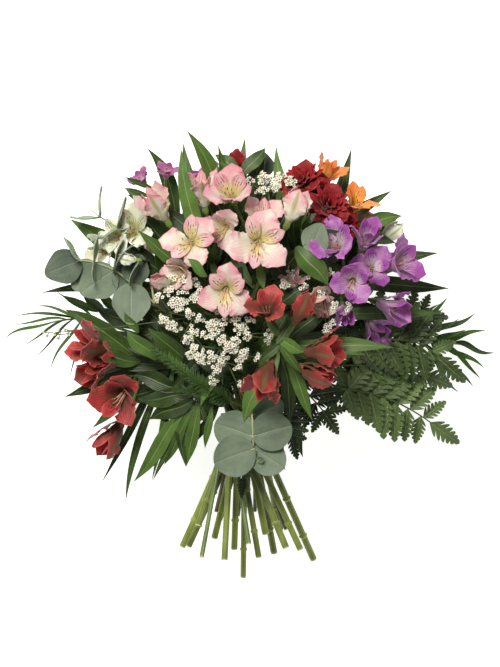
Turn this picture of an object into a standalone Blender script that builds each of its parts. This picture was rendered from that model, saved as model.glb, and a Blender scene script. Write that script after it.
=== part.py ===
"""A hand-tied alstroemeria bouquet with no vase, lying on its back.

All lengths in the tables are millimetres. X runs to the right and Y towards the flowers as the bouquet is seen
from above, and Z is up from the surface it lies on. The stems cross at the tie in one spiral, fan out below it
and bend out to their heads above it.
"""

import math

import bmesh
import bpy
import numpy as np
from mathutils import Matrix, Vector

# Driving dimensions, in millimetres.
SHEET = 0.8
CLEARANCE = 0.5
TIE_CENTRE = np.array([-6.0, -58.0, 81.5])
SLOT_SPACING = 7.8
SPIRAL_RATE = 0.04
TAIL_SLOPE = 0.32
WAIST_GAP = 0.6
STEM_REACH = 28.0
STEM_GAP = 0.8
FLAT_ANGLE = 0.003
SLIVER_CLEARANCE = 0.35
STEM_STEPS = 5
TIE_WIDTH = 12.0
TIE_THICKNESS = 2.2
TIE_SIDES = 14
CUP_LENGTH = 11.0
CUP_RADIUS = 4.6
PEDICEL_RADIUS = 1.25
LEAF_ROOT_WIDTH = 2.4
PINNA_TEETH = 2

# Colour, roughness of each finish.
FINISHES = {
    "pink_petal": ((0.86, 0.52, 0.58, 1.0), 0.5),
    "purple_petal": ((0.42, 0.12, 0.52, 1.0), 0.5),
    "red_petal": ((0.62, 0.04, 0.06, 1.0), 0.5),
    "dark_red_petal": ((0.28, 0.01, 0.02, 1.0), 0.5),
    "orange_petal": ((0.86, 0.3, 0.06, 1.0), 0.5),
    "white_petal": ((0.88, 0.9, 0.76, 1.0), 0.5),
    "green_leaf": ((0.07, 0.16, 0.03, 1.0), 0.45),
    "fern_leaf": ((0.04, 0.13, 0.03, 1.0), 0.5),
    "palm_leaf": ((0.06, 0.15, 0.03, 1.0), 0.45),
    "eucalyptus_leaf": ((0.24, 0.33, 0.29, 1.0), 0.6),
    "filler_flower": ((0.85, 0.84, 0.72, 1.0), 0.6),
    "bare_stem": ((0.3, 0.4, 0.1, 1.0), 0.5),
    "tie_twine": ((0.5, 0.4, 0.24, 1.0), 0.8),
}

# Tepal shape of each kind of floret: how far its middle and tip stand out from the axis and up along it, how
# far back from the bloom's own place the base is, and the width factor.
KINDS = {
    "open": {"outer": ((9, 25), (31, 23)), "inner": ((6, 24), (25, 27)), "back": 15, "wide": (1.0, 1.0)},
    "flared": {"outer": ((8, 26), (25, 33)), "inner": ((6, 24), (18, 35)), "back": 17, "wide": (0.95, 0.95)},
    "trumpet": {"outer": ((8.5, 24), (17, 40)), "inner": ((4, 24), (9, 40)), "back": 22, "wide": (0.8, 0.6)},
    "bell": {"outer": ((11, 21), (12, 41)), "inner": ((5, 22), (6, 41)), "back": 21, "wide": (0.82, 0.6)},
    "bud": {"outer": ((11, 18), (4, 37)), "inner": ((5, 20), (1.8, 32)), "back": 19, "wide": (0.78, 0.3)},
}
OUTER_WIDTHS = ((0.0, 6.0), (0.4, 12.5), (0.8, 16.5), (1.0, 0.0))
INNER_WIDTHS = ((0.0, 3.0), (0.7, 9.0), (1.0, 0.0))

# Florets: name, kind, finish, stem, place, facing, roll in degrees, size.
FLORETS = (
    ("pink_bloom_1", "open", "pink_petal", "pink_front", (8, 101, 188), (0.05, -0.05, 1), 20, 1.0),
    ("pink_bloom_2", "flared", "pink_petal", "pink_front", (-16, 143, 164), (-0.2, 0.55, 0.8), 0, 0.95),
    ("pink_bloom_3", "open", "pink_petal", "pink_left", (-52, 101, 174), (-0.2, 0.15, 1), 40, 0.9),
    ("pink_bloom_4", "open", "pink_petal", "pink_left", (-21, 58, 180), (-0.05, -0.3, 1), 10, 0.9),
    ("pink_bloom_5", "bell", "pink_petal", "pink_outer", (-82, 132, 138), (-0.5, 0.75, 0.35), 0, 1.05),
    ("pink_bloom_6", "bud", "pink_petal", "pink_front", (40, 131, 170), (0.38, 0.85, 0.3), 0, 1.15),
    ("pink_bloom_7", "bud", "pink_petal", "pink_outer", (-78, 66, 160), (-0.85, 0.1, 0.5), 0, 0.7),
    ("pink_bloom_8", "trumpet", "pink_petal", "pink_front", (58, 47, 148), (0.8, -0.1, 0.55), 0, 0.9),
    ("pink_bloom_9", "trumpet", "pink_petal", "pink_left", (-42, 146, 142), (-0.15, 0.9, 0.4), 0, 1.0),
    ("purple_bloom_1", "flared", "purple_petal", "purple", (78, 98, 158), (-0.3, 0.45, 0.85), 0, 0.95),
    ("purple_bloom_2", "trumpet", "purple_petal", "purple", (104, 104, 142), (0.25, 0.7, 0.65), 30, 0.92),
    ("purple_bloom_3", "flared", "purple_petal", "purple", (92, 66, 168), (-0.05, -0.1, 1), 20, 0.85),
    ("purple_bloom_4", "flared", "purple_petal", "purple", (130, 81, 132), (0.75, 0.3, 0.55), 0, 1.0),
    ("purple_bloom_5", "trumpet", "purple_petal", "purple", (126, 44, 128), (0.8, -0.25, 0.5), 0, 1.0),
    ("purple_bloom_6", "trumpet", "purple_petal", "purple", (112, 26, 104), (0.5, -0.6, 0.45), 0, 0.9),
    ("red_bloom_1", "trumpet", "red_petal", "red_left", (-146, 16, 116), (-0.8, 0.35, 0.5), 0, 1.05),
    ("red_bloom_2", "trumpet", "red_petal", "red_left", (-142, -12, 96), (-0.85, -0.3, 0.4), 20, 1.0),
    ("red_bloom_3", "flared", "red_petal", "red_left", (-117, -31, 122), (-0.35, -0.35, 0.85), 30, 1.08),
    ("red_bloom_4", "bell", "red_petal", "red_left", (-124, -71, 84), (-0.62, -0.72, 0.2), 0, 1.08),
    ("red_bloom_5", "flared", "red_petal", "red_right", (14, 42, 186), (-0.1, 0.75, 0.65), 15, 0.88),
    ("red_bloom_6", "bud", "red_petal", "red_right", (47, 43, 182), (0.5, 0.8, 0.35), 0, 0.95),
    ("red_bloom_7", "trumpet", "red_petal", "red_right", (66, 4, 178), (0.95, 0.1, 0.3), 0, 0.95),
    ("red_bloom_8", "bud", "red_petal", "red_right", (61, -19, 166), (0.9, -0.4, 0.2), 0, 0.9),
    ("red_bloom_9", "trumpet", "red_petal", "red_right", (13, -23, 180), (-0.35, -0.9, 0.3), 0, 1.0),
    ("orange_bloom_1", "flared", "orange_petal", "orange", (70, 165, 112), (0.45, 0.85, 0.25), 0, 0.9),
    ("orange_bloom_2", "flared", "orange_petal", "orange", (97, 134, 118), (0.55, 0.6, 0.6), 0, 0.9),
    ("dark_red_bloom_1", "flared", "dark_red_petal", "dark_red", (48, 157, 134), (-0.3, 0.6, 0.75), 0, 0.85),
    ("dark_red_bloom_2", "flared", "dark_red_petal", "dark_red", (70, 131, 146), (0.3, 0.35, 0.9), 30, 0.9),
    ("dark_red_bloom_3", "bud", "dark_red_petal", "dark_left", (-12, 178, 104), (0.25, 0.9, 0.4), 0, 0.8),
    ("white_bloom_1", "open", "white_petal", "white_left", (-118, 106, 112), (-0.55, 0.3, 0.8), 10, 0.72),
    ("white_bloom_2", "bud", "white_petal", "white_right", (126, 110, 96), (0.75, 0.6, 0.3), 0, 0.75),
    ("magenta_bloom_1", "flared", "purple_petal", "magenta", (-96, 156, 104), (-0.6, 0.65, 0.5), 0, 0.5),
    ("magenta_bloom_2", "flared", "purple_petal", "magenta", (-75, 162, 110), (0.1, 0.85, 0.55), 20, 0.5),
    ("pink_bloom_10", "open", "pink_petal", "back_left", (-92, 96, 48), (-0.85, 0.35, 0.25), 0, 0.8),
    ("red_bloom_10", "flared", "red_petal", "back_right", (98, 122, 52), (0.6, 0.75, 0.1), 0, 0.8),
    ("purple_bloom_7", "flared", "purple_petal", "back_left", (-38, 156, 52), (-0.25, 0.95, 0.05), 0, 0.8),
)

# Stems: name, finish, top of the stem, radius, length below the tie.
STEMS = (
    ("pink_front", "green_leaf", (14, 78, 140), 3.0, 128),
    ("pink_left", "green_leaf", (-34, 84, 134), 3.0, 122),
    ("pink_outer", "green_leaf", (-52, 84, 112), 3.0, 104),
    ("purple", "green_leaf", (84, 58, 112), 3.0, 116),
    ("red_left", "green_leaf", (-96, -8, 84), 2.8, 118),
    ("red_right", "green_leaf", (33, 10, 146), 3.0, 101),
    ("orange", "green_leaf", (70, 118, 84), 2.8, 116),
    ("dark_red", "green_leaf", (48, 112, 106), 2.8, 108),
    ("dark_left", "green_leaf", (-20, 132, 88), 2.6, 144),
    ("magenta", "green_leaf", (-68, 126, 82), 2.6, 125),
    ("white_left", "green_leaf", (-92, 84, 82), 2.8, 127),
    ("white_right", "green_leaf", (98, 88, 74), 2.8, 96),
    ("back_left", "green_leaf", (-48, 112, 42), 2.8, 118),
    ("back_right", "green_leaf", (62, 84, 40), 2.8, 116),
    ("eucalyptus_left", "eucalyptus_leaf", (-89, 50, 112), 1.6, 100),
    ("eucalyptus_right", "eucalyptus_leaf", (52, 84, 126), 1.6, 84),
    ("eucalyptus_front", "eucalyptus_leaf", (-2, -30, 128), 1.6, 72),
    ("eucalyptus_back", "eucalyptus_leaf", (0, 30, 14), 1.6, 84),
    ("filler_front", "filler_flower", (-20, 24, 132), 1.5, 78),
    ("palm_left", "palm_leaf", (-118, 24, 30), 2.0, 112),
    ("palm_right", "palm_leaf", (120, 14, 36), 2.0, 124),
    ("fern_upper", "fern_leaf", (78, 10, 96), 1.6, 88),
    ("fern_lower", "fern_leaf", (58, -22, 92), 1.6, 92),
)

# Leaves: stem, place along the upper stem from 0 to 1, tip, lift of the middle, width.
LEAVES = (
    ("magenta", 0.96, (-92, 186, 92), (14, 0, -4), 13),
    ("magenta", 0.9, (-112, 150, 96), (0, 4, 8), 9),
    ("pink_left", 0.95, (-61, 184, 152), (-12, 0, 16), 14),
    ("dark_left", 0.97, (-56, 201, 128), (8, 0, 10), 14),
    ("dark_left", 0.93, (-28, 188, 132), (6, 0, 6), 10),
    ("dark_left", 0.9, (14, 186, 110), (4, 0, 8), 15),
    ("dark_left", 0.84, (-4, 196, 70), (0, 0, -6), 13),
    ("white_left", 0.94, (-161, 122, 100), (0, 0, 12), 18),
    ("white_left", 0.88, (-188, 56, 74), (0, 4, 16), 9),
    ("white_left", 0.84, (-168, 76, 44), (0, 0, 8), 13),
    ("red_left", 0.97, (-166, 41, 94), (0, 6, 12), 17),
    ("red_left", 0.93, (-167, -38, 72), (0, 0, 14), 12),
    ("red_left", 0.9, (-142, -66, 48), (0, 0, -4), 12),
    ("red_left", 0.84, (-134, -116, 46), (-4, 0, -12), 9),
    ("red_left", 0.8, (-112, -132, 62), (-6, 0, 2), 9),
    ("red_left", 0.76, (-88, -113, 86), (-8, 0, 14), 9),
    ("red_left", 0.7, (-57, -101, 96), (-6, 0, 10), 10),
    ("red_left", 0.88, (-86, 22, 124), (4, 0, 4), 14),
    ("white_right", 0.96, (134, 124, 92), (0, 4, 8), 11),
    ("white_right", 0.92, (170, 92, 84), (0, 4, 12), 13),
    ("white_right", 0.86, (180, 60, 76), (0, 4, 12), 14),
    ("purple", 0.82, (176, 38, 108), (0, 0, 8), 11),
    ("orange", 0.95, (128, 148, 88), (0, 4, 6), 10),
    ("orange", 0.9, (92, 186, 76), (6, 0, 4), 12),
    ("dark_red", 0.92, (24, 188, 92), (-4, 0, 4), 12),
    ("red_right", 0.97, (128, 7, 160), (0, 2, 12), 13),
    ("red_right", 0.93, (56, -58, 136), (4, 0, 12), 11),
    ("red_right", 0.9, (-5, -60, 142), (-4, 0, 14), 17),
    ("red_right", 0.86, (36, -62, 118), (10, 0, 10), 12),
    ("pink_front", 0.9, (52, 100, 160), (6, -4, 4), 14),
    ("pink_outer", 0.9, (-100, 112, 130), (-4, 0, 8), 12),
    ("pink_left", 0.6, (-70, -32, 118), (-6, 0, 12), 10),
    ("pink_left", 0.5, (-44, -46, 122), (-6, 0, 12), 10),
    ("white_left", 0.7, (-112, 8, 92), (0, 0, 12), 14),
    ("purple", 0.7, (104, 0, 118), (0, 0, 10), 13),
    ("dark_red", 0.85, (88, 76, 132), (0, 0, 6), 14),
    ("magenta", 0.8, (-110, 128, 70), (0, 0, 6), 14),
    ("back_left", 0.95, (-112, 150, 22), (0, 0, 4), 15),
    ("back_left", 0.86, (-128, 78, 0.3), (0, 0, 4), 16),
    ("back_left", 0.9, (-60, 192, 26), (0, 0, 0), 14),
    ("back_right", 0.95, (134, 128, 22), (0, 0, 4), 15),
    ("back_right", 0.88, (150, 88, 0.3), (0, 0, 4), 16),
    ("back_right", 0.92, (52, 176, 24), (0, 0, 2), 15),
    ("back_right", 0.84, (8, 158, 0.3), (0, 0, 4), 15),
)

# Eucalyptus: sprig, then the path of its twig past the stem's top, and its round leaves: the place where each
# is held, its far edge, the way its upper face looks, and its diameter.
SPRIGS = {
    "eucalyptus_left": ((-106, 64, 118), (-121, 76, 122), (-139, 83, 122), (-152, 85, 122)),
    "eucalyptus_right": ((58, 96, 132), (62, 104, 136), (66, 110, 138), (70, 114, 140)),
    "eucalyptus_front": ((2, -52, 142), (3, -73, 142), (4, -84, 138), (7, -103, 126)),
    "eucalyptus_back": ((0, 14, 10), (0, 0, 5), (2, -12, 6), (4, -20, 8)),
}
DISCS = (
    ("eucalyptus_left", (-106, 64, 118), (-108, 30, 124), (0.1, 0.1, 1), 30),
    ("eucalyptus_left", (-106, 64, 118), (-96, 96, 118), (0.3, -0.2, 1), 26),
    ("eucalyptus_left", (-121, 76, 122), (-146, 54, 118), (-0.1, -0.2, 1), 32),
    ("eucalyptus_left", (-121, 76, 122), (-112, 110, 122), (0.5, 0, 0.8), 28),
    ("eucalyptus_left", (-139, 83, 122), (-172, 66, 118), (0, 0, 1), 33),
    ("eucalyptus_left", (-139, 83, 122), (-150, 108, 126), (0.6, 0.2, 0.7), 24),
    ("eucalyptus_right", (58, 96, 132), (72, 132, 146), (-0.35, 0, 1), 26),
    ("eucalyptus_right", (58, 96, 132), (82, 88, 132), (0.1, 0.1, 1), 24),
    ("eucalyptus_front", (3, -73, 142), (-31, -60, 142), (0, -0.15, 1), 39),
    ("eucalyptus_front", (3, -73, 142), (34, -62, 140), (0.1, -0.1, 1), 40),
    ("eucalyptus_front", (4, -84, 138), (-31, -97, 140), (0, -0.1, 1), 40),
    ("eucalyptus_front", (4, -84, 138), (38, -92, 138), (0.1, 0, 1), 37),
    ("eucalyptus_back", (0, 14, 10), (-30, 30, 4), (0, 0, 1), 34),
    ("eucalyptus_back", (0, 14, 10), (32, 34, 4), (0, 0, 1), 34),
)
REST_DISC_RADIUS = 21.0
DISC_DISH = 0.12

# Palm-type fronds: frond, root place on the rib, tip and width of each leaflet.
PALM_RIBS = {
    "palm_left": ((-136, 30, 22), (-156, 33, 14), (-178, 30, 8)),
    "palm_right": ((140, 14, 26), (160, 12, 17), (184, 10, 9)),
}
LEAFLETS = (
    ("palm_left", 0.1, (-176, 58, 30), 7),
    ("palm_left", 0.3, (-196, 44, 20), 7),
    ("palm_left", 0.5, (-214, 35, 12), 7),
    ("palm_left", 0.7, (-216, 27, 8), 6),
    ("palm_left", 1.0, (-224, 14, 0.3), 7),
    ("palm_left", 0.8, (-206, 8, 4), 6),
    ("palm_left", 0.6, (-196, -4, 4), 6),
    ("palm_left", 0.4, (-182, -16, 4), 7),
    ("palm_left", 0.2, (-164, -22, 10), 7),
    ("palm_right", 0.0, (172, 46, 40), 7),
    ("palm_right", 0.2, (180, 52, 30), 7),
    ("palm_right", 0.4, (205, 38, 22), 7),
    ("palm_right", 0.6, (216, 22, 12), 7),
    ("palm_right", 1.0, (223, 2, 0.3), 7),
    ("palm_right", 0.8, (214, -12, 4), 6),
    ("palm_right", 0.6, (204, -29, 4), 6),
    ("palm_right", 0.4, (190, -34, 6), 7),
    ("palm_right", 0.2, (168, -30, 12), 7),
)

# Fern fronds: the rib past the stem's top, and how long the pinnae are at its foot, middle and tip.
FERN_RIBS = {
    "fern_upper": (((96, 12, 98), (128, 14, 96), (158, 8, 86), (192, -22, 62)), (30, 34, 10)),
    "fern_lower": (((84, -30, 92), (116, -36, 84), (150, -52, 68), (187, -78, 40)), (28, 34, 10)),
}
PINNA_PAIRS = 5
PINNA_WIDTH = 12.0

# White filler: the spray's forks, and the clusters of tiny florets with the fork that each hangs on.
FILLER_FORKS = (
    ((-20, 24, 132), (-50, 34, 140)),
    ((-20, 24, 132), (-26, 6, 150)),
    ((-20, 24, 132), (26, 68, 146)),
)
FILLER_CLUSTERS = (
    (0, (-72, 38, 152), 6.0),
    (0, (-58, 46, 156), 6.0),
    (0, (-48, 30, 162), 6.0),
    (0, (-62, 12, 146), 5.5),
    (1, (-44, 8, 162), 6.0),
    (1, (-34, 24, 168), 6.0),
    (1, (-22, 10, 172), 6.0),
    (1, (-36, -10, 156), 6.0),
    (1, (-20, -8, 166), 6.0),
    (1, (-8, 20, 172), 6.0),
    (1, (-8, 0, 166), 5.5),
    (1, (-24, -26, 150), 5.0),
    (1, (-6, -36, 150), 4.5),
    (2, (18, 68, 168), 5.0),
    (2, (30, 62, 160), 5.0),
    (2, (68, 74, 154), 5.0),
    (2, (16, 154, 142), 5.0),
    (2, (24, 146, 146), 5.0),
)


def unit(vector):
    """The vector at length one."""
    vector = np.asarray(vector, float)
    return vector / np.linalg.norm(vector)


def sweep(start, middle, tip, share):
    """A place on the curve from start to tip that is drawn towards middle."""
    near = (1 - share) ** 2
    far = share**2
    return near * np.asarray(start) + 2 * share * (1 - share) * np.asarray(middle) + far * np.asarray(tip)


def sweep_way(start, middle, tip, share):
    """The direction of that curve."""
    first = np.asarray(middle, float) - np.asarray(start, float)
    last = np.asarray(tip, float) - np.asarray(middle, float)
    return unit((1 - share) * first + share * last)


def mesh_object(name, mesh):
    """An object for the mesh, in the working collection."""
    made = bpy.data.objects.new(name, mesh)
    WORK.objects.link(made)
    return made


def evaluated_mesh(obj):
    """The mesh of the object with its modifiers applied, in world space. The object is removed."""
    bpy.context.view_layer.update()
    graph = bpy.context.evaluated_depsgraph_get()
    mesh = bpy.data.meshes.new_from_object(obj.evaluated_get(graph))
    mesh.transform(obj.matrix_world)
    old = obj.data
    kind = obj.type
    bpy.data.objects.remove(obj)
    if kind == "MESH":
        bpy.data.meshes.remove(old)
    else:
        bpy.data.curves.remove(old)
    return mesh


def sheet_body(sheet, thickness):
    """A closed body made from an open sheet: both faces take the same triangles."""
    bmesh.ops.triangulate(sheet, faces=sheet.faces)
    mesh = bpy.data.meshes.new("sheet")
    sheet.to_mesh(mesh)
    sheet.free()
    made = mesh_object("sheet", mesh)
    shell = made.modifiers.new("Thickness", "SOLIDIFY")
    shell.thickness = thickness * 0.001
    shell.offset = 0.0
    shell.use_rim = True
    return evaluated_mesh(made)


def blade(start, middle, tip, facing, widths, fold=0.12, across=2, thickness=SHEET, wave=0.0):
    """A leaf, leaflet, pinna or tepal: widths gives (share of the length, width), with the root first."""
    sheet = bmesh.new()
    bmesh.ops.create_grid(sheet, x_segments=len(widths) - 1, y_segments=across, size=1.0)
    for vertex in sheet.verts:
        row = round((vertex.co.x + 1) / 2 * (len(widths) - 1))
        share, width = widths[row]
        reach = vertex.co.y
        way = sweep_way(start, middle, tip, share)
        side = unit(np.cross(way, facing))
        up = np.cross(side, way)
        place = sweep(start, middle, tip, share) + side * reach * width / 2
        place = place + up * abs(reach) * width * (fold + wave * (-1) ** row)
        vertex.co = Vector(place * 0.001)
    bmesh.ops.remove_doubles(sheet, verts=sheet.verts, dist=2e-5)
    return sheet_body(sheet, thickness)


def disc(hold, far_edge, facing, diameter):
    """A round eucalyptus leaf, held at one edge by a short point."""
    hold = np.asarray(hold, float)
    way = unit(np.asarray(far_edge, float) - hold)
    side = unit(np.cross(way, facing))
    up = np.cross(side, way)
    sheet = bmesh.new()
    bmesh.ops.create_circle(sheet, cap_ends=True, cap_tris=True, segments=10, radius=1.0)
    radius = diameter / 2
    for vertex in sheet.verts:
        along = vertex.co.x
        reach = vertex.co.y
        place = hold + way * radius * (0.97 + along) + side * radius * reach
        place = place + up * radius * DISC_DISH * (along**2 + reach**2 - 1)
        vertex.co = Vector(place * 0.001)
    return sheet_body(sheet, SHEET + 0.2)


def tube(places, radii, detail=1):
    """A round stem through the places, closed at both ends."""
    curve = bpy.data.curves.new("stem", "CURVE")
    curve.dimensions = "3D"
    curve.bevel_depth = 0.001
    curve.bevel_resolution = detail
    curve.use_fill_caps = True
    line = curve.splines.new("POLY")
    line.points.add(len(places) - 1)
    for point, place, radius in zip(line.points, places, radii):
        point.co = (*(np.asarray(place, float) * 0.001), 1.0)
        point.radius = radius
    made = bpy.data.objects.new("stem", curve)
    WORK.objects.link(made)
    mesh = evaluated_mesh(made)
    shape = bmesh.new()
    shape.from_mesh(mesh)
    bmesh.ops.remove_doubles(shape, verts=shape.verts, dist=1e-6)
    bmesh.ops.recalc_face_normals(shape, faces=shape.faces)
    bmesh.ops.triangulate(shape, faces=shape.faces)
    shape.to_mesh(mesh)
    shape.free()
    return mesh


def cone(base, top, radii, sides=6):
    """A short solid cone from base to top."""
    base = np.asarray(base, float)
    top = np.asarray(top, float)
    length = np.linalg.norm(top - base)
    shape = bmesh.new()
    bmesh.ops.create_cone(
        shape,
        cap_ends=True,
        cap_tris=False,
        segments=sides,
        radius1=radii[0] * 0.001,
        radius2=radii[1] * 0.001,
        depth=length * 0.001,
    )
    turn = Vector(top - base).to_track_quat("Z", "Y").to_matrix().to_4x4()
    shape.transform(Matrix.Translation(Vector((base + top) / 2 * 0.001)) @ turn)
    bmesh.ops.triangulate(shape, faces=shape.faces)
    mesh = bpy.data.meshes.new("cone")
    shape.to_mesh(mesh)
    shape.free()
    return mesh


def floret_crown(place, away, radius, depth):
    """A cluster of tiny florets as one body: a cone whose flat top is cut into lobes that stand up and down."""
    shape = bmesh.new()
    bmesh.ops.create_cone(
        shape, cap_ends=True, cap_tris=True, segments=8, radius1=0.9, radius2=radius, depth=radius * 1.5
    )
    for vertex in shape.verts:
        if vertex.co.z > 0 and math.hypot(vertex.co.x, vertex.co.y) > 0.1:
            number = round(math.atan2(vertex.co.y, vertex.co.x) / math.radians(45))
            reach = 1.25 if number % 2 else 0.72 * depth
            vertex.co.x *= reach
            vertex.co.y *= reach
            vertex.co.z += -1.2 if number % 2 else 0.6
        elif vertex.co.z > 0:
            vertex.co.z += radius * 0.4
    turn = Vector(away).to_track_quat("Z", "Y").to_matrix().to_4x4()
    shape.transform(Matrix.Translation(Vector(place)) @ turn)
    shape.transform(Matrix.Scale(0.001, 4))
    bmesh.ops.triangulate(shape, faces=shape.faces)
    mesh = bpy.data.meshes.new("crown")
    shape.to_mesh(mesh)
    shape.free()
    return mesh


def bead(place, radius):
    """A small round body with few faces."""
    shape = bmesh.new()
    bmesh.ops.create_icosphere(shape, subdivisions=1, radius=radius * 0.001)
    shape.transform(Matrix.Translation(Vector(np.asarray(place, float) * 0.001)))
    mesh = bpy.data.meshes.new("bead")
    shape.to_mesh(mesh)
    shape.free()
    return mesh


def hand_frame(facing, roll):
    """Three axes for a bloom that looks along facing, turned by roll degrees about it."""
    ahead = unit(facing)
    start = np.array([0.0, 1.0, 0.0]) if abs(ahead[1]) < 0.8 else np.array([0.0, 0.0, 1.0])
    side = unit(np.cross(start, ahead))
    over = np.cross(ahead, side)
    angle = math.radians(roll)
    first = math.cos(angle) * over + math.sin(angle) * side
    return ahead, first, np.cross(ahead, first)


def floret_base(row):
    """The foot of a floret, where its pedicel ends."""
    back = KINDS[row[1]]["back"] * row[7]
    return np.asarray(row[4], float) - unit(row[5]) * back


def floret_body(row):
    """One floret: six tepals on the rim of a nine-sided cup, made as one sheet and given its thickness."""
    name, kind, finish, stem, place, facing, roll, size = row
    shape = KINDS[kind]
    ahead, first, second = hand_frame(facing, roll)
    base = floret_base(row)
    rim_radius = CUP_RADIUS * size
    rim_height = CUP_LENGTH * size

    def on_rim(degrees):
        angle = math.radians(degrees)
        return base + ahead * rim_height + (first * math.cos(angle) + second * math.sin(angle)) * rim_radius

    sheet = bmesh.new()
    bmesh.ops.create_cone(sheet, cap_ends=False, segments=9, radius1=0.0, radius2=1.0, depth=1.0)
    bmesh.ops.remove_doubles(sheet, verts=sheet.verts, dist=1e-4)
    for vertex in sheet.verts:
        degrees = round(math.degrees(math.atan2(vertex.co.x, vertex.co.y)) / 40) * 40
        vertex.co = Vector((base if vertex.co.z < 0 else on_rim(degrees)) * 0.001)
    for layer, shift, table in (("outer", 0, OUTER_WIDTHS), ("inner", 60, INNER_WIDTHS)):
        middle, tip = shape[layer]
        across = 2 if layer == "outer" else 1
        spread = 40 if layer == "outer" else 20
        for number in range(3):
            degrees = 120 * number + shift
            angle = math.radians(degrees)
            out = math.cos(angle) * first + math.sin(angle) * second
            root = base + out * rim_radius + ahead * rim_height
            bend = base + (out * middle[0] + ahead * middle[1]) * size
            end = base + (out * tip[0] + ahead * tip[1]) * size
            before = set(sheet.verts)
            bmesh.ops.create_grid(sheet, x_segments=len(table) - 1, y_segments=across, size=1.0)
            for vertex in set(sheet.verts) - before:
                row_number = round((vertex.co.x + 1) / 2 * (len(table) - 1))
                reach = vertex.co.y
                share, width = table[row_number]
                width = width * size * shape["wide"][0 if layer == "outer" else 1]
                if row_number == 0:
                    vertex.co = Vector(on_rim(degrees + spread * round(reach)) * 0.001)
                    continue
                way = sweep_way(root, bend, end, share)
                side = unit(np.cross(ahead, out))
                up = np.cross(way, side)
                spot = sweep(root, bend, end, share) + side * reach * width / 2
                vertex.co = Vector((spot + up * abs(reach) * width * 0.1) * 0.001)
    bmesh.ops.remove_doubles(sheet, verts=sheet.verts, dist=2e-5)
    bmesh.ops.recalc_face_normals(sheet, faces=sheet.faces)
    return sheet_body(sheet, SHEET)


def waist_slots():
    """Places of the stems in the tie, packed like a honeycomb, the inner ones first."""
    found = []
    for row in range(-4, 5):
        for column in range(-4, 5):
            across = (column + row / 2) * SLOT_SPACING
            up = row * math.sqrt(3) / 2 * SLOT_SPACING
            found.append((round(math.hypot(across, up), 3), across, up))
    found.sort()
    return [np.array(entry[1:]) for entry in found[: len(STEMS)]]


def spiral_place(slot, height):
    """A place on a stem at this height above the tie, on its straight part."""
    across = slot[0] - SPIRAL_RATE * height * slot[1]
    up = slot[1] + SPIRAL_RATE * height * slot[0]
    return TIE_CENTRE + np.array([across, height, up + height * TAIL_SLOPE])


def share_out_slots():
    """Gives each stem the place in the tie from which the spiral already leads towards its head."""
    slots = waist_slots()
    wanted = []
    for number, row in enumerate(STEMS):
        offset = np.asarray(row[2], float) - TIE_CENTRE
        wanted.append((math.hypot(offset[0], offset[2]), number, math.atan2(offset[2], offset[0])))
    wanted.sort()
    given = {}
    ring_start = 0
    for ring_end in (1, 7, 19, len(STEMS)):
        ring = wanted[ring_start:ring_end]
        places = slots[ring_start:ring_end]
        places.sort(key=lambda slot: math.atan2(slot[1], slot[0]))
        ring.sort(key=lambda entry: (entry[2] - 1.05) % (2 * math.pi))
        best = None
        for turn in range(len(ring)):
            total = 0.0
            for index, entry in enumerate(ring):
                slot = places[(index + turn) % len(places)]
                total -= math.cos(entry[2] - 1.05 - math.atan2(slot[1], slot[0]))
            if best is None or total < best[0]:
                best = (total, turn)
        for index, entry in enumerate(ring):
            given[entry[1]] = places[(index + best[1]) % len(places)]
        ring_start = ring_end
    return given


def packed_waist():
    """Places of the stems in the tie, drawn together until they almost touch along their slanting sides."""
    given = share_out_slots()
    places = np.array([given[number] for number in range(len(STEMS))])
    radii = np.array([row[3] for row in STEMS])
    one, two = np.triu_indices(len(places), 1)
    need = radii[one] + radii[two] + WAIST_GAP
    for turn in range(900):
        if turn < 700:
            places = places * 0.996
        apart = places[one] - places[two]
        far = np.linalg.norm(apart, axis=1)
        slant = SPIRAL_RATE * (places[one, 0] * places[two, 1] - places[one, 1] * places[two, 0])
        clear = far**2 / np.sqrt(far**2 + slant**2)
        short = np.maximum(need - clear, 0.0)
        step = apart / far[:, None] * (short * 0.45)[:, None]
        np.add.at(places, one, step)
        np.add.at(places, two, -step)
    return places


def nearest_offsets(starts_one, ends_one, starts_two, ends_two):
    """For many pairs of straight pieces: the shortest offset from two to one, and how far along each it is."""
    along_one = ends_one - starts_one
    along_two = ends_two - starts_two
    between = starts_one - starts_two
    a = np.einsum("ij,ij->i", along_one, along_one)
    b = np.einsum("ij,ij->i", along_one, along_two)
    c = np.einsum("ij,ij->i", along_two, along_two)
    d = np.einsum("ij,ij->i", along_one, between)
    e = np.einsum("ij,ij->i", along_two, between)
    below = np.maximum(a * c - b * b, 1e-9)
    share_one = np.clip((b * e - c * d) / below, 0, 1)
    share_two = np.clip((b * share_one + e) / c, 0, 1)
    share_one = np.clip((b * share_two - d) / a, 0, 1)
    offset = between + share_one[:, None] * along_one - share_two[:, None] * along_two
    return offset, share_one, share_two


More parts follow.
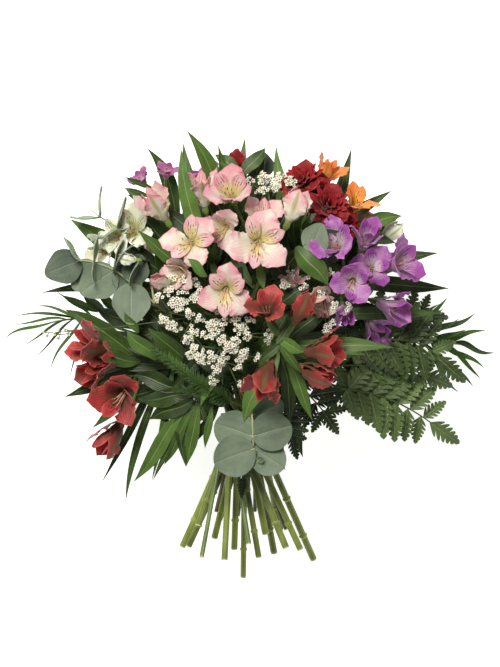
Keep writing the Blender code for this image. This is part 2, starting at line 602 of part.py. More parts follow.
def stem_paths():
    """The path of each stem from its cut end to its head. Stems that would touch lean aside."""
    given = packed_waist()
    paths = np.zeros((len(STEMS), STEM_STEPS + 1, 3))
    for number, row in enumerate(STEMS):
        lower = spiral_place(given[number], 0.0)
        bend = spiral_place(given[number], STEM_REACH)
        for step in range(STEM_STEPS + 1):
            paths[number][step] = sweep(lower, bend * 2 - lower, row[2], step / STEM_STEPS)
    radii = np.array([row[3] for row in STEMS])
    stem = np.repeat(np.arange(len(STEMS)), STEM_STEPS)
    piece = np.tile(np.arange(STEM_STEPS), len(STEMS))
    one, two = np.triu_indices(len(stem), 1)
    keep = stem[one] != stem[two]
    one = one[keep]
    two = two[keep]
    room = radii[stem[one]] + radii[stem[two]] + STEM_GAP
    loose = np.ones(STEM_STEPS + 1)
    loose[0] = 0.0
    loose[-1] = 0.25
    for _ in range(300):
        starts = paths[stem, piece]
        ends = paths[stem, piece + 1]
        offset, share_one, share_two = nearest_offsets(starts[one], ends[one], starts[two], ends[two])
        distance = np.maximum(np.linalg.norm(offset, axis=1), 1e-6)
        close = np.flatnonzero(distance < room)
        push = np.zeros_like(paths)
        for pair in close:
            step = offset[pair] / distance[pair] * (room[pair] - distance[pair]) * 0.4
            for sign, index, share in ((1, one[pair], share_one[pair]), (-1, two[pair], share_two[pair])):
                first = piece[index]
                push[stem[index], first] += sign * step * (1 - share) * loose[first]
                push[stem[index], first + 1] += sign * step * share * loose[first + 1]
        paths += push
    tails = [spiral_place(given[number], -row[4]) for number, row in enumerate(STEMS)]
    return [np.vstack([tail, path]) for tail, path in zip(tails, paths)]


def along_path(path, share):
    """A place along the part of a stem above the tie, at this share of it."""
    upper = path[1:]
    spot = share * (len(upper) - 1)
    low = min(int(spot), len(upper) - 2)
    return upper[low] + (upper[low + 1] - upper[low]) * (spot - low)


def outward(place):
    """The way that the foliage at a place looks: out from the heart of the head, and up."""
    away = np.asarray(place, float) - np.array([-4.0, 40.0, 60.0])
    return unit(away * np.array([0.4, 0.4, 0.6]) + np.array([0.0, 0.0, 90.0]))


def leaf_blade(root, tip, lift, width, stations=3):
    """A lanceolate leaf from root to tip, arched by lift."""
    root = np.asarray(root, float)
    tip = np.asarray(tip, float)
    middle = (root + tip) / 2 + np.asarray(lift, float)
    shares = ((0.0, LEAF_ROOT_WIDTH), (0.28, width * 0.8), (0.62, width), (1.0, 0.0))
    if stations == 4:
        shares = ((0.0, LEAF_ROOT_WIDTH), (0.25, width * 0.8), (0.5, width), (0.76, width * 0.7), (1.0, 0.0))
    return blade(root, middle, tip, outward(middle), shares, 0.14)


def frond_leaflet(root, tip, width):
    """A narrow leaflet, a little arched."""
    root = np.asarray(root, float)
    tip = np.asarray(tip, float)
    middle = (root + tip) / 2 + np.array([0.0, 0.0, 5.0])
    shares = ((0.0, 2.0), (0.4, width), (1.0, 0.0))
    return blade(root, middle, tip, (0.0, 0.0, 1.0), shares, 0.0, 1)


def toothed_pinna(root, tip):
    """A fern pinna with its edge cut into lobes, arched so that it can't fold onto itself."""
    root = np.asarray(root, float)
    tip = np.asarray(tip, float)
    middle = (root + tip) / 2 + np.array([0.0, 0.0, 3.0])
    shares = [(0.0, 2.6)]
    for tooth in range(PINNA_TEETH):
        taper = 1 - 0.72 * tooth / PINNA_TEETH
        shares.append(((tooth + 0.45) / (PINNA_TEETH + 0.5), PINNA_WIDTH * taper))
        shares.append(((tooth + 1.0) / (PINNA_TEETH + 0.5), PINNA_WIDTH * taper * 0.48))
    shares[-1] = (1.0, 0.0)
    return blade(root, middle, tip, (0.0, 0.0, 1.0), shares, 0.0, 1)


def rib_place(places, share):
    """A place along a rib at this share of its length."""
    places = np.asarray(places, float)
    spot = share * (len(places) - 1)
    low = min(int(spot), len(places) - 2)
    return places[low] + (places[low + 1] - places[low]) * (spot - low)


def build_parts():
    """Every shape of the bouquet as (node, rank, mesh): a shape of a lower rank keeps its place."""
    parts = []
    paths = dict(zip([row[0] for row in STEMS], stem_paths()))
    for name, finish, top, radius, tail in STEMS:
        path = paths[name]
        ends = [radius] * 5 + [radius * 0.85, radius * 0.6]
        if name == "filler_front":
            ends = [max(1.0, size) for size in ends]
        parts.append((name, 0, tube(path, ends, 1 if radius > 2.2 else 0)))
    for row in FLORETS:
        foot = floret_base(row)
        ahead = unit(row[5])
        crown = np.asarray(paths[row[3]][-1], float)
        start = crown + unit(foot - crown) * 1.6
        middle = (start + foot) / 2 + unit(foot - start) * 2 - ahead * 7
        places = [sweep(start, middle, foot - ahead * 0.1, share) for share in (0.0, 0.55, 1.0)]
        parts.append((row[3], 1, tube(places, [PEDICEL_RADIUS] * 3, 0)))
        parts.append((row[0], 2, floret_body(row)))
    for name in sorted({row[3] for row in FLORETS}):
        parts.append((name, 0, bead(paths[name][-1], 3.6)))
    for stem, share, tip, lift, width in LEAVES:
        root = along_path(paths[stem], share)
        parts.append((stem, 3, leaf_blade(root, tip, lift, width)))
    for sprig, places in SPRIGS.items():
        route = [along_path(paths[sprig], 0.97)] + [np.asarray(place, float) for place in places]
        parts.append((sprig, 1, tube(route, [1.2, 1.1, 1.0, 0.9, 0.7], 0)))
    for sprig, hold, far_edge, facing, diameter in DISCS:
        parts.append((sprig, 3, disc(hold, far_edge, facing, diameter)))
    parts.append(("eucalyptus_back", 3, cone((0, 0, 0), (0, 0, 1.2), (REST_DISC_RADIUS, REST_DISC_RADIUS), 12)))
    parts.append(("eucalyptus_back", 3, cone((0, 0, 1.0), (0, 0, 6.5), (1.6, 1.2), 6)))
    for frond, places in PALM_RIBS.items():
        route = [along_path(paths[frond], 0.98)] + [np.asarray(place, float) for place in places]
        parts.append((frond, 1, tube(route, [1.3, 1.2, 1.0, 0.8], 0)))
        for name, share, tip, width in LEAFLETS:
            if name == frond:
                parts.append((frond, 3, frond_leaflet(rib_place(route[1:], share), tip, width)))
    for frond, (places, lengths) in FERN_RIBS.items():
        route = [along_path(paths[frond], 0.98)] + [np.asarray(place, float) for place in places]
        parts.append((frond, 1, tube(route, [1.2, 1.1, 1.0, 0.9, 0.7], 0)))
        way = unit(route[-1] - route[1])
        side = unit(np.cross((0.0, 0.0, 1.0), way))
        for pair in range(PINNA_PAIRS):
            share = (pair + 0.35) / (PINNA_PAIRS + 0.1)
            here = rib_place(route[1:], share)
            length = np.interp(share, (0.0, 0.4, 1.0), lengths)
            for hand in (-1, 1):
                lean = side * hand * 0.86 + way * 0.5
                tip = here + lean * length + np.array([0.0, 0.0, -0.18 * length])
                parts.append((frond, 3, toothed_pinna(here, tip)))
        end = route[-1] + way * 12
        parts.append((frond, 3, toothed_pinna(route[-1] - way * 3, end)))
    stem_top = along_path(paths["filler_front"], 0.99)
    spread = np.random.default_rng(7)
    for start, fork in FILLER_FORKS:
        parts.append(("filler_front", 1, tube([stem_top, fork], [1.1, 0.9], 0)))
    for fork, place, radius in FILLER_CLUSTERS:
        start = np.asarray(FILLER_FORKS[fork][1], float)
        place = np.asarray(place, float)
        parts.append(("filler_front", 1, tube([start, place], [0.8, 0.7], 0)))
        away = unit(place - start)
        parts.append(("filler_front", 2, floret_crown(place, away, radius, spread.uniform(0.7, 1.0))))
    return parts


def box_of(mesh):
    """The corners of the box round a mesh, in metres."""
    places = np.empty(len(mesh.vertices) * 3)
    mesh.vertices.foreach_get("co", places)
    places = places.reshape(-1, 3)
    return places.min(axis=0), places.max(axis=0)


def swollen(mesh, amount):
    """A copy of a mesh with its surface moved outwards."""
    grown = mesh.copy()
    shape = bmesh.new()
    shape.from_mesh(grown)
    shape.normal_update()
    shifts = [vertex.normal * amount * 0.001 for vertex in shape.verts]
    for vertex, shift in zip(shape.verts, shifts):
        vertex.co += shift
    shape.to_mesh(grown)
    shape.free()
    return grown


def joined(mesh, others, operation):
    """One Boolean of a mesh with a collection of others, applied. The others are removed."""
    made = mesh_object("body", mesh)
    for number, other in enumerate(others):
        helper = bpy.data.objects.new("helper", other)
        CUTTERS.objects.link(helper)
    step = made.modifiers.new("Join", "BOOLEAN")
    step.operation = operation
    step.operand_type = "COLLECTION"
    step.collection = CUTTERS
    step.solver = "MANIFOLD"
    result = evaluated_mesh(made)
    for helper in list(CUTTERS.objects):
        old = helper.data
        bpy.data.objects.remove(helper)
        bpy.data.meshes.remove(old)
    return result


def largest_island(mesh):
    """Drops what a cut has left loose, so that the mesh is one body."""
    shape = bmesh.new()
    shape.from_mesh(mesh)
    unseen = set(shape.verts)
    islands = []
    while unseen:
        seed = unseen.pop()
        island = [seed]
        stack = [seed]
        while stack:
            vertex = stack.pop()
            for edge in vertex.link_edges:
                other = edge.other_vert(vertex)
                if other in unseen:
                    unseen.remove(other)
                    island.append(other)
                    stack.append(other)
        islands.append(island)
    islands.sort(key=len, reverse=True)
    for island in islands[1:]:
        bmesh.ops.delete(shape, geom=island, context="VERTS")
    bmesh.ops.dissolve_limit(
        shape, angle_limit=FLAT_ANGLE, verts=shape.verts, edges=shape.edges, use_dissolve_boundaries=False
    )
    bmesh.ops.triangulate(shape, faces=shape.faces)
    shape.to_mesh(mesh)
    shape.free()
    return len(islands) - 1


def clear_contacts(bodies, finishes):
    """Trims the foliage or the later bloom wherever two finished nodes still share a sliver."""
    names = list(bodies)
    boxes = {name: box_of(body) for name, body in bodies.items()}
    for number, first in enumerate(names):
        for second in names[number + 1 :]:
            low = np.maximum(boxes[first][0], boxes[second][0])
            high = np.minimum(boxes[first][1], boxes[second][1])
            if (low > high).any():
                continue
            shared = joined(bodies[first].copy(), [bodies[second].copy()], "INTERSECT")
            touching = len(shared.polygons) > 0
            bpy.data.meshes.remove(shared)
            if not touching:
                continue
            loser = first if "petal" in finishes[second] else second
            keeper = second if loser == first else first
            bodies[loser] = joined(bodies[loser], [swollen(bodies[keeper], SLIVER_CLEARANCE)], "DIFFERENCE")
            largest_island(bodies[loser])


def tie_ring():
    """Twine wound round the stems at the tie: a tight ring that follows their outline and touches none."""
    places = []
    for slot, row in zip(packed_waist(), STEMS):
        for height in (-TIE_WIDTH / 2, 0.0, TIE_WIDTH / 2):
            spot = spiral_place(slot, height) - TIE_CENTRE
            places.append((spot[0], spot[2], row[3] * 1.12))
    places = np.array(places)
    offset = TIE_THICKNESS / 2 + 0.4

    def reach(angle):
        return (places[:, 0] * math.cos(angle) + places[:, 1] * math.sin(angle) + places[:, 2]).max() + offset

    sheet = bmesh.new()
    bmesh.ops.create_grid(sheet, x_segments=TIE_SIDES, y_segments=4, size=1.0)
    for vertex in sheet.verts:
        angle = (vertex.co.x + 1) * math.pi
        side = math.pi / TIE_SIDES
        first = reach(angle - side)
        last = reach(angle + side)
        swell = 0.7 if round((vertex.co.y + 1) * 2) % 2 else 0.0
        out = (first + last) / (2 * math.cos(side)) + swell
        along = (last - first) / (2 * math.sin(side))
        across = math.cos(angle) * out - math.sin(angle) * along
        up = math.sin(angle) * out + math.cos(angle) * along
        vertex.co = Vector((TIE_CENTRE + np.array([across, vertex.co.y * TIE_WIDTH / 2, up])) * 0.001)
    bmesh.ops.remove_doubles(sheet, verts=sheet.verts, dist=2e-5)
    return sheet_body(sheet, TIE_THICKNESS)


def main():
    """Builds the bouquet: shapes that would cross another node are cut clear of it, then each node is joined."""
    parts = build_parts()
    parts.append(("tie", 0, tie_ring()))
    boxes = [box_of(mesh) for _, _, mesh in parts]
    room = CLEARANCE * 0.001
    order = sorted(range(len(parts)), key=lambda index: (parts[index][1], index))
    cut = {}
    for index in order:
        node, rank, mesh = parts[index]
        low, high = boxes[index]
        against = []
        for other in order:
            if other == index:
                break
            if parts[other][0] == node:
                continue
            other_low, other_high = boxes[other]
            if (low - room < other_high).all() and (other_low < high + room).all():
                against.append(swollen(parts[other][2], CLEARANCE))
        cut[index] = joined(mesh.copy(), against, "DIFFERENCE") if against else mesh.copy()
    finishes = {row[0]: row[2] for row in FLORETS}
    finishes.update({row[0]: row[1] for row in STEMS})
    finishes["tie"] = "tie_twine"
    bodies = {}
    names = []
    for node, _, _ in parts:
        if node not in names:
            names.append(node)
    for name in names:
        shapes = [cut[index] for index in order if parts[index][0] == name]
        body = joined(shapes[0], shapes[1:], "UNION") if len(shapes) > 1 else shapes[0]
        floor = bmesh.new()
        bmesh.ops.create_cube(floor, size=1.0)
        floor.transform(Matrix.Translation(Vector((0.0, 0.0, -0.5))))
        below = bpy.data.meshes.new("below")
        floor.to_mesh(below)
        floor.free()
        if box_of(body)[0][2] < -1e-7:
            body = joined(body, [below], "DIFFERENCE")
        largest_island(body)
        bodies[name] = body
    clear_contacts(bodies, finishes)
    for name, body in bodies.items():
        body.name = name
        made = bpy.data.objects.new(name, body)
        OBJECT.objects.link(made)
        made.data.materials.clear()
        made.data.materials.append(MATERIALS[finishes[name]])


for thing in list(bpy.data.objects):
    bpy.data.objects.remove(thing)
OBJECT = bpy.data.collections.new("alstroemeria_bouquet")
WORK = bpy.data.collections.new("workbench")
CUTTERS = bpy.data.collections.new("cutters")
for group in (OBJECT, WORK, CUTTERS):
    bpy.context.scene.collection.children.link(group)
WORK.hide_render = True
CUTTERS.hide_render = True
MATERIALS = {}
for finish_name, (colour, roughness) in FINISHES.items():
    material = bpy.data.materials.new(finish_name)
    material.use_nodes = True
    shader = material.node_tree.nodes["Principled BSDF"]
    shader.inputs["Base Color"].default_value = colour
    shader.inputs["Roughness"].default_value = roughness
    shader.inputs["Metallic"].default_value = 0.0
    MATERIALS[finish_name] = material
main()
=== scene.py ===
"""Looks of a hand-tied alstroemeria bouquet that lies on its back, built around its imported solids.

Lengths are millimetres, apart from the studio's, which are metres. X runs to the right and Y towards the flowers as
the bouquet is seen from above, and Z is up from the table.
"""

from __future__ import annotations

import logging
import math
from dataclasses import dataclass, field
from enum import Enum, IntEnum
from typing import Any

import bpy
import numpy as np
from mathutils import Matrix, Vector

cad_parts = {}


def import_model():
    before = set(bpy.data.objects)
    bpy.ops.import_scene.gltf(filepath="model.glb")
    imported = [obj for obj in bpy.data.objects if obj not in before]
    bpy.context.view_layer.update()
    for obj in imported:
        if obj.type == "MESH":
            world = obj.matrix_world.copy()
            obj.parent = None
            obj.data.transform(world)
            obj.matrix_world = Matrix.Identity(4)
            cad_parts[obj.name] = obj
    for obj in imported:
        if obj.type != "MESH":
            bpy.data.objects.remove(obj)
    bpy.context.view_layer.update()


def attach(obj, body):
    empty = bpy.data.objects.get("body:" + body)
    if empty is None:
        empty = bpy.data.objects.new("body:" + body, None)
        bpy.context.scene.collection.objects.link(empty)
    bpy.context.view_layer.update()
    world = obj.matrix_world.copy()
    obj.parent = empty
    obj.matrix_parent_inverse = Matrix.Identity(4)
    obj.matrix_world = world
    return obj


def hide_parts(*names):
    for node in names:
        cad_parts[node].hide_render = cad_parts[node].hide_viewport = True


LOG = logging.getLogger("bouquet")
MM = 0.001
BODY = "root"
UV_NAME = "blade"
UP = np.array([0.0, 0.0, 1.0])
# The middle of the head, from which all foliage looks outwards, and how strongly it does along each axis.
HEART = np.array([-4.0, 40.0, 60.0])
OUTWARD_PULL = np.array([0.4, 0.4, 0.6])
UPWARD_PULL = 90.0
# Leaves and needles follow each other round a stem by the golden angle, in radians.
GOLDEN_TURN = 2.4
# Edges that turn more sharply than this aren't shaded smooth.
SHARP_ANGLE = math.radians(52)
# No blade is narrower anywhere than this share of its width.
LEAST_SHARE = 0.012
# Height of the ovary's ribs as a share of its radius.
RIB_HEIGHT = 0.07
# A low and a high number, or two that go together.
Pair = tuple[float, float]
# Node types, those of maths with the operation that they do.
RANGE, BLEND, NOISE = "ShaderNodeMapRange", "ShaderNodeMixRGB", "ShaderNodeTexNoise"
PLUS, MINUS, TIMES = "ShaderNodeMath ADD", "ShaderNodeMath SUBTRACT", "ShaderNodeMath MULTIPLY"
TIMES_PLUS, POWER = "ShaderNodeMath MULTIPLY_ADD", "ShaderNodeMath POWER"
SIZE_OF, SINE, COSINE = "ShaderNodeMath ABSOLUTE", "ShaderNodeMath SINE", "ShaderNodeMath COSINE"
COORDINATES, VALUE_OF, BRIGHTEN = "ShaderNodeTexCoord", "ShaderNodeAttribute", "ShaderNodeHueSaturation"


class FloretKind(Enum):
    """How a floret has opened.

    Each value holds the (radial, axial) middle and tip of the outer and the inner tepals, how far the base is
    behind the floret's own place, and the width of the outer and inner tepals as factors.
    """

    OPEN = (((9, 25), (31, 23)), ((6, 24), (25, 27)), 15, (1.04, 1.0))
    FLARED = (((8, 26), (25, 33)), ((6, 24), (18, 35)), 17, (1.0, 0.95))
    TRUMPET = (((9.5, 24), (18, 40)), ((4, 24), (10, 40)), 22, (0.86, 0.7))
    BELL = (((11, 21), (12, 41)), ((5, 22), (6, 41)), 21, (0.78, 0.6))
    BUD = (((11, 18), (4, 37)), ((5, 20), (1.8, 32)), 19, (0.7, 0.35))


OPEN, FLARED, TRUMPET, BELL, BUD = FloretKind


class Seed(IntEnum):
    """Where the random numbers of each family of pieces start."""

    BLOOMS = 100
    STEMS = 300
    INNER_LEAVES = 450
    EUCALYPTUS = 500
    PALMS = 600
    FERNS = 650
    FILLER = 700
    PLUMES = 800


class Petals(Enum):
    """The petal colours, by slot name."""

    PINK = "pink_petal"
    PURPLE = "purple_petal"
    RED = "red_petal"
    DARK_RED = "dark_red_petal"
    ORANGE = "orange_petal"
    WHITE = "white_petal"


# Stems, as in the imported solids: radius, then seven places from the cut end through the tie to the head.
STEMS = {
    "pink_front": (3, (58.3, -186, 11.5), (1.8, -58, 92.5), (-5.6, -34.7, 105.9), (-7.6, -9.7, 118.1),
        (-5.2, 17.5, 127.4), (1.7, 47, 134.3), (14, 78, 140)),
    "pink_left": (3, (22.3, -180, 17.9), (0, -58, 86.1), (-4.4, -33, 94.3), (-10.5, -8.4, 108.8), (-17.2, 20, 118.3),
        (-25.1, 50.8, 126.8), (-34, 84, 134)),
    "pink_outer": (3, (14.7, -162, 56.7), (-6.8, -58, 86.7), (-11, -33.6, 92.9), (-18.8, -9.6, 104), (-28.6, 20, 103.5),
        (-39.4, 50.8, 108), (-52, 84, 112)),
    "purple": (3, (33.1, -174, 96.3), (-14.9, -58, 91.9), (-22.6, -35, 90), (-12.2, -11.7, 92.6), (9.5, 10.4, 99.4),
        (41, 34.2, 104.1), (84, 58, 112)),
    "red_left": (2.8, (46.1, -176, 64.5), (-8, -58, 93), (-17.7, -37.7, 100.1), (-34.4, -23.1, 98), (-52, -13.1, 96.2),
        (-72.5, -8.1, 91.5), (-96, -8, 84)),
    "red_right": (3, (27.9, -159, 3.4), (6.6, -58, 86.8), (6.5, -35.8, 102.1), (7.2, -19.9, 118.4), (10.5, -6.6, 130.3),
        (19.7, 3.4, 139.5), (33, 10, 146)),
    "orange": (2.8, (-55.3, -174, 17.4), (-2.6, -58, 70.1), (7.9, -32.1, 76.2), (21.2, -3, 84.6), (35.7, 32.2, 87.4),
        (52, 72.6, 87.2), (70, 118, 84)),
    "dark_red": (2.8, (-31.8, -166, 40.3), (-5.9, -58, 75.5), (-1.1, -32.1, 79), (9.2, -3.9, 89.1), (20, 30.1, 95.2),
        (32.9, 68.7, 100.9), (48, 112, 106)),
    "dark_left": (2.6, (-5.7, -202, 22.8), (-3.9, -58, 81.2), (-3.7, -32.1, 86.2), (-5.7, 0, 88.5), (-9.3, 37.3, 94.5),
        (-14, 81.5, 92.8), (-20, 132, 88)),
    "magenta": (2.6, (8.4, -183, 81.1), (-13.1, -58, 85.8), (-18, -31.4, 84.2), (-26.4, -1.6, 85.8),
        (-37.5, 35.1, 85.4), (-51.3, 77.7, 84), (-68, 126, 82)),
    "white_left": (2.8, (-22.6, -185, 90.5), (-16, -58, 80.2), (-17.3, -34.6, 77.9), (-26.8, -8.4, 78.2),
        (-42, 20, 78.7), (-63.7, 50.8, 79.9), (-92, 84, 82)),
    "white_right": (2.8, (-46.2, -154, 79.3), (-15.5, -58, 73.5), (-7.6, -34.4, 68.9), (9, -6.3, 74.2),
        (33.8, 21.5, 72.2), (62.9, 53.4, 72.7), (98, 88, 74)),
    "back_left": (2.8, (-13.8, -176, 61), (-9.8, -58, 80.7), (-9.5, -33.3, 82.9), (-15, -3.9, 78.9),
        (-22.7, 30.1, 71.2), (-33.7, 68.7, 58.9), (-48, 112, 42)),
    "back_right": (2.8, (-61.1, -174, 49.2), (-9.4, -58, 70.4), (0.3, -33.7, 69.5), (17.7, -10.5, 67.5),
        (28.3, 20, 64.3), (44.3, 50.8, 54.2), (62, 84, 40)),
    "eucalyptus_left": (1.6, (32.9, -158, 47.3), (-3.2, -58, 90.5), (-8.9, -34.9, 100.7), (-26.6, -13.8, 105.6),
        (-43.8, 7.8, 109.9), (-64.6, 29, 112), (-89, 50, 112)),
    "eucalyptus_right": (1.6, (5, -142, 19.7), (4.4, -58, 81.7), (5.7, -33, 93.7), (12.3, -8.6, 108.7),
        (21.4, 20, 117.4), (34.8, 50.8, 123.3), (52, 84, 126)),
    "eucalyptus_front": (1.6, (-13.1, -130, 39.9), (-1, -58, 77.3), (3.5, -35.8, 83.4), (3.6, -24.7, 97.7),
        (2.8, -21, 109.5), (-0.5, -22.5, 119.1), (-2, -30, 128)),
    "eucalyptus_back": (1.6, (-30.4, -142, 65.6), (-11, -58, 75.7), (-7.1, -35.6, 77.2), (-5.9, -15.9, 71.1),
        (-0.8, 0.6, 56.7), (0.2, 16.2, 38.4), (0, 30, 14)),
    "filler_front": (1.5, (-1.3, -136, 34.6), (0.8, -58, 80.8), (1.2, -35.4, 89.1), (-1.9, -18.2, 105.2),
        (-6.4, -1.2, 114.1), (-12.4, 12.7, 123.5), (-20, 24, 132)),
    "palm_left": (2, (-0.4, -170, 105), (-18.3, -58, 85.5), (-25.2, -36.8, 80.2), (-38.6, -18, 72), (-58.5, -1.6, 60.9),
        (-85, 12.4, 46.9), (-118, 24, 30)),
    "palm_right": (2, (-43.1, -182, 109), (-20.5, -58, 76.9), (-16, -35.3, 66.4), (5.8, -18.8, 61.9), (35, -5.2, 55.3),
        (72.7, 6, 46.1), (120, 14, 36)),
    "fern_upper": (1.6, (-10.4, -146, 18), (3, -58, 77.7), (8.2, -35.4, 87.2), (18.8, -20.3, 99.2), (34.1, -6.6, 102.5),
        (53.7, 3.4, 101.6), (78, 10, 96)),
    "fern_lower": (1.6, (-26.2, -150, 18.7), (1, -58, 74.1), (7.7, -36.4, 81.4), (18.5, -25.3, 92.6),
        (29.5, -18.2, 96.7), (42.8, -17, 96.3), (58, -22, 92)),
}

# The first fourteen stems carry florets.
FLOWER_STEMS = tuple(STEMS)[:14]
TIE_CENTRE = np.array([-6.0, -58.0, 81.5])

# Florets: how each has opened, its stem, place, the way it looks, roll in degrees and size.
FLORETS = {
    ("pink_bloom", Petals.PINK): (
        (OPEN, "pink_front", 8, 101, 188, 0.05, -0.05, 1, 20, 1),
        (FLARED, "pink_front", -16, 143, 164, -0.2, 0.55, 0.8, 0, 0.95),
        (OPEN, "pink_left", -52, 101, 174, -0.2, 0.15, 1, 40, 0.9),
        (OPEN, "pink_left", -21, 58, 180, -0.05, -0.3, 1, 10, 0.9),
        (BELL, "pink_outer", -82, 132, 138, -0.5, 0.75, 0.35, 0, 1.05),
        (BUD, "pink_front", 40, 131, 170, 0.38, 0.85, 0.3, 0, 1.15),
        (BUD, "pink_outer", -78, 66, 160, -0.85, 0.1, 0.5, 0, 0.7),
        (TRUMPET, "pink_front", 58, 47, 148, 0.8, -0.1, 0.55, 0, 0.9),
        (TRUMPET, "pink_left", -42, 146, 142, -0.15, 0.9, 0.4, 0, 1),
        (OPEN, "back_left", -92, 96, 48, -0.85, 0.35, 0.25, 0, 0.8),
    ),
    ("purple_bloom", Petals.PURPLE): (
        (FLARED, "purple", 78, 98, 158, -0.3, 0.45, 0.85, 0, 0.95),
        (TRUMPET, "purple", 104, 104, 142, 0.25, 0.7, 0.65, 30, 0.92),
        (FLARED, "purple", 92, 66, 168, -0.05, -0.1, 1, 20, 0.85),
        (FLARED, "purple", 130, 81, 132, 0.75, 0.3, 0.55, 0, 1),
        (TRUMPET, "purple", 126, 44, 128, 0.8, -0.25, 0.5, 0, 1),
        (TRUMPET, "purple", 112, 26, 104, 0.5, -0.6, 0.45, 0, 0.9),
        (FLARED, "back_left", -38, 156, 52, -0.25, 0.95, 0.05, 0, 0.8),
    ),
    ("red_bloom", Petals.RED): (
        (TRUMPET, "red_left", -141, 8, 116, -0.8, 0.35, 0.5, 0, 1.05),
        (TRUMPET, "red_left", -137, -13, 100, -0.85, -0.3, 0.4, 20, 1),
        (FLARED, "red_left", -114, -35, 122, -0.35, -0.35, 0.85, 30, 1.08),
        (BELL, "red_left", -124, -71, 84, -0.62, -0.72, 0.2, 0, 1.08),
        (FLARED, "red_right", 17, 38, 186, -0.1, 0.7, 0.7, 15, 0.86),
        (BUD, "red_right", 46, 40, 182, 0.45, 0.82, 0.35, 0, 1.15),
        (TRUMPET, "red_right", 63, 5, 178, 0.95, 0.12, 0.3, 0, 1.08),
        (BUD, "red_right", 57, -15, 168, 0.92, -0.38, 0.2, 0, 1.15),
        (TRUMPET, "red_right", 15, -20, 180, -0.3, -0.92, 0.3, 0, 1.1),
        (FLARED, "back_right", 98, 122, 52, 0.6, 0.75, 0.1, 0, 0.8),
    ),
    ("orange_bloom", Petals.ORANGE): (
        (TRUMPET, "orange", 69, 162, 116, 0.5, 0.85, 0.25, 0, 0.85),
        (FLARED, "orange", 94, 133, 120, 0.45, 0.7, 0.6, 0, 0.82),
    ),
    ("dark_red_bloom", Petals.DARK_RED): (
        (FLARED, "dark_red", 49, 152, 132, -0.3, 0.5, 0.8, 0, 0.78),
        (FLARED, "dark_red", 69, 131, 144, 0.3, 0.35, 0.9, 30, 0.82),
        (BUD, "dark_left", -12, 174, 104, 0.25, 0.9, 0.4, 0, 0.72),
    ),
    ("white_bloom", Petals.WHITE): (
        (OPEN, "white_left", -118, 106, 112, -0.55, 0.3, 0.8, 10, 0.72),
        (BUD, "white_right", 126, 110, 96, 0.75, 0.6, 0.3, 0, 0.75),
    ),
    ("magenta_bloom", Petals.PURPLE): (
        (FLARED, "magenta", -96, 156, 104, -0.6, 0.65, 0.5, 0, 0.5),
        (FLARED, "magenta", -75, 162, 110, 0.1, 0.85, 0.55, 20, 0.5),
    ),
    ("pink_side", Petals.PINK): (
        (TRUMPET, "pink_front", 11, 122, 160, 0.1, 0.85, 0.5, 0, 0.95),
        (TRUMPET, "pink_front", 37, 66, 148, 0.3, 0.75, 0.6, 0, 0.8),
        (FLARED, "pink_left", -22, 114, 156, -0.35, -0.1, 0.9, 30, 0.8),
        (FLARED, "pink_left", -60, 76, 154, -0.5, -0.45, 0.7, 10, 0.75),
    ),
    ("purple_side", Petals.PURPLE): (
        (FLARED, "purple", 109, 78, 140, 0.1, 0.2, 0.95, 40, 0.85),
        (BELL, "purple", 84, 38, 140, 0.1, -0.6, 0.7, 0, 0.7),
        (FLARED, "back_left", -33, 164, 92, -0.1, 0.6, 0.8, 0, 0.42),
    ),
    ("dark_red_side", Petals.DARK_RED): (
        (FLARED, "dark_red", 60, 144, 128, 0.1, 0.5, 0.85, 10, 0.72),
        (FLARED, "dark_red", 80, 117, 132, 0.35, 0.2, 0.9, 30, 0.7),
    ),
    ("red_side", Petals.RED): (
        (TRUMPET, "red_left", -124, -4, 104, -0.85, 0.1, 0.5, 40, 0.85),
    ),
    ("white_side", Petals.WHITE): (
        (FLARED, "white_left", -104, 112, 100, -0.2, 0.25, 1, 20, 0.95),
        (TRUMPET, "white_left", -130, 96, 102, -0.5, -0.2, 0.8, 0, 0.9),
        (BUD, "white_left", -108, 86, 130, -0.9, 0.1, 0.3, 0, 0.6),
    ),
}
# Width of the outer tepals of some colours, in place of the usual one.
OUTER_WIDTHS = {Petals.RED: 25.0, Petals.ORANGE: 17.0, Petals.PURPLE: 24.0}

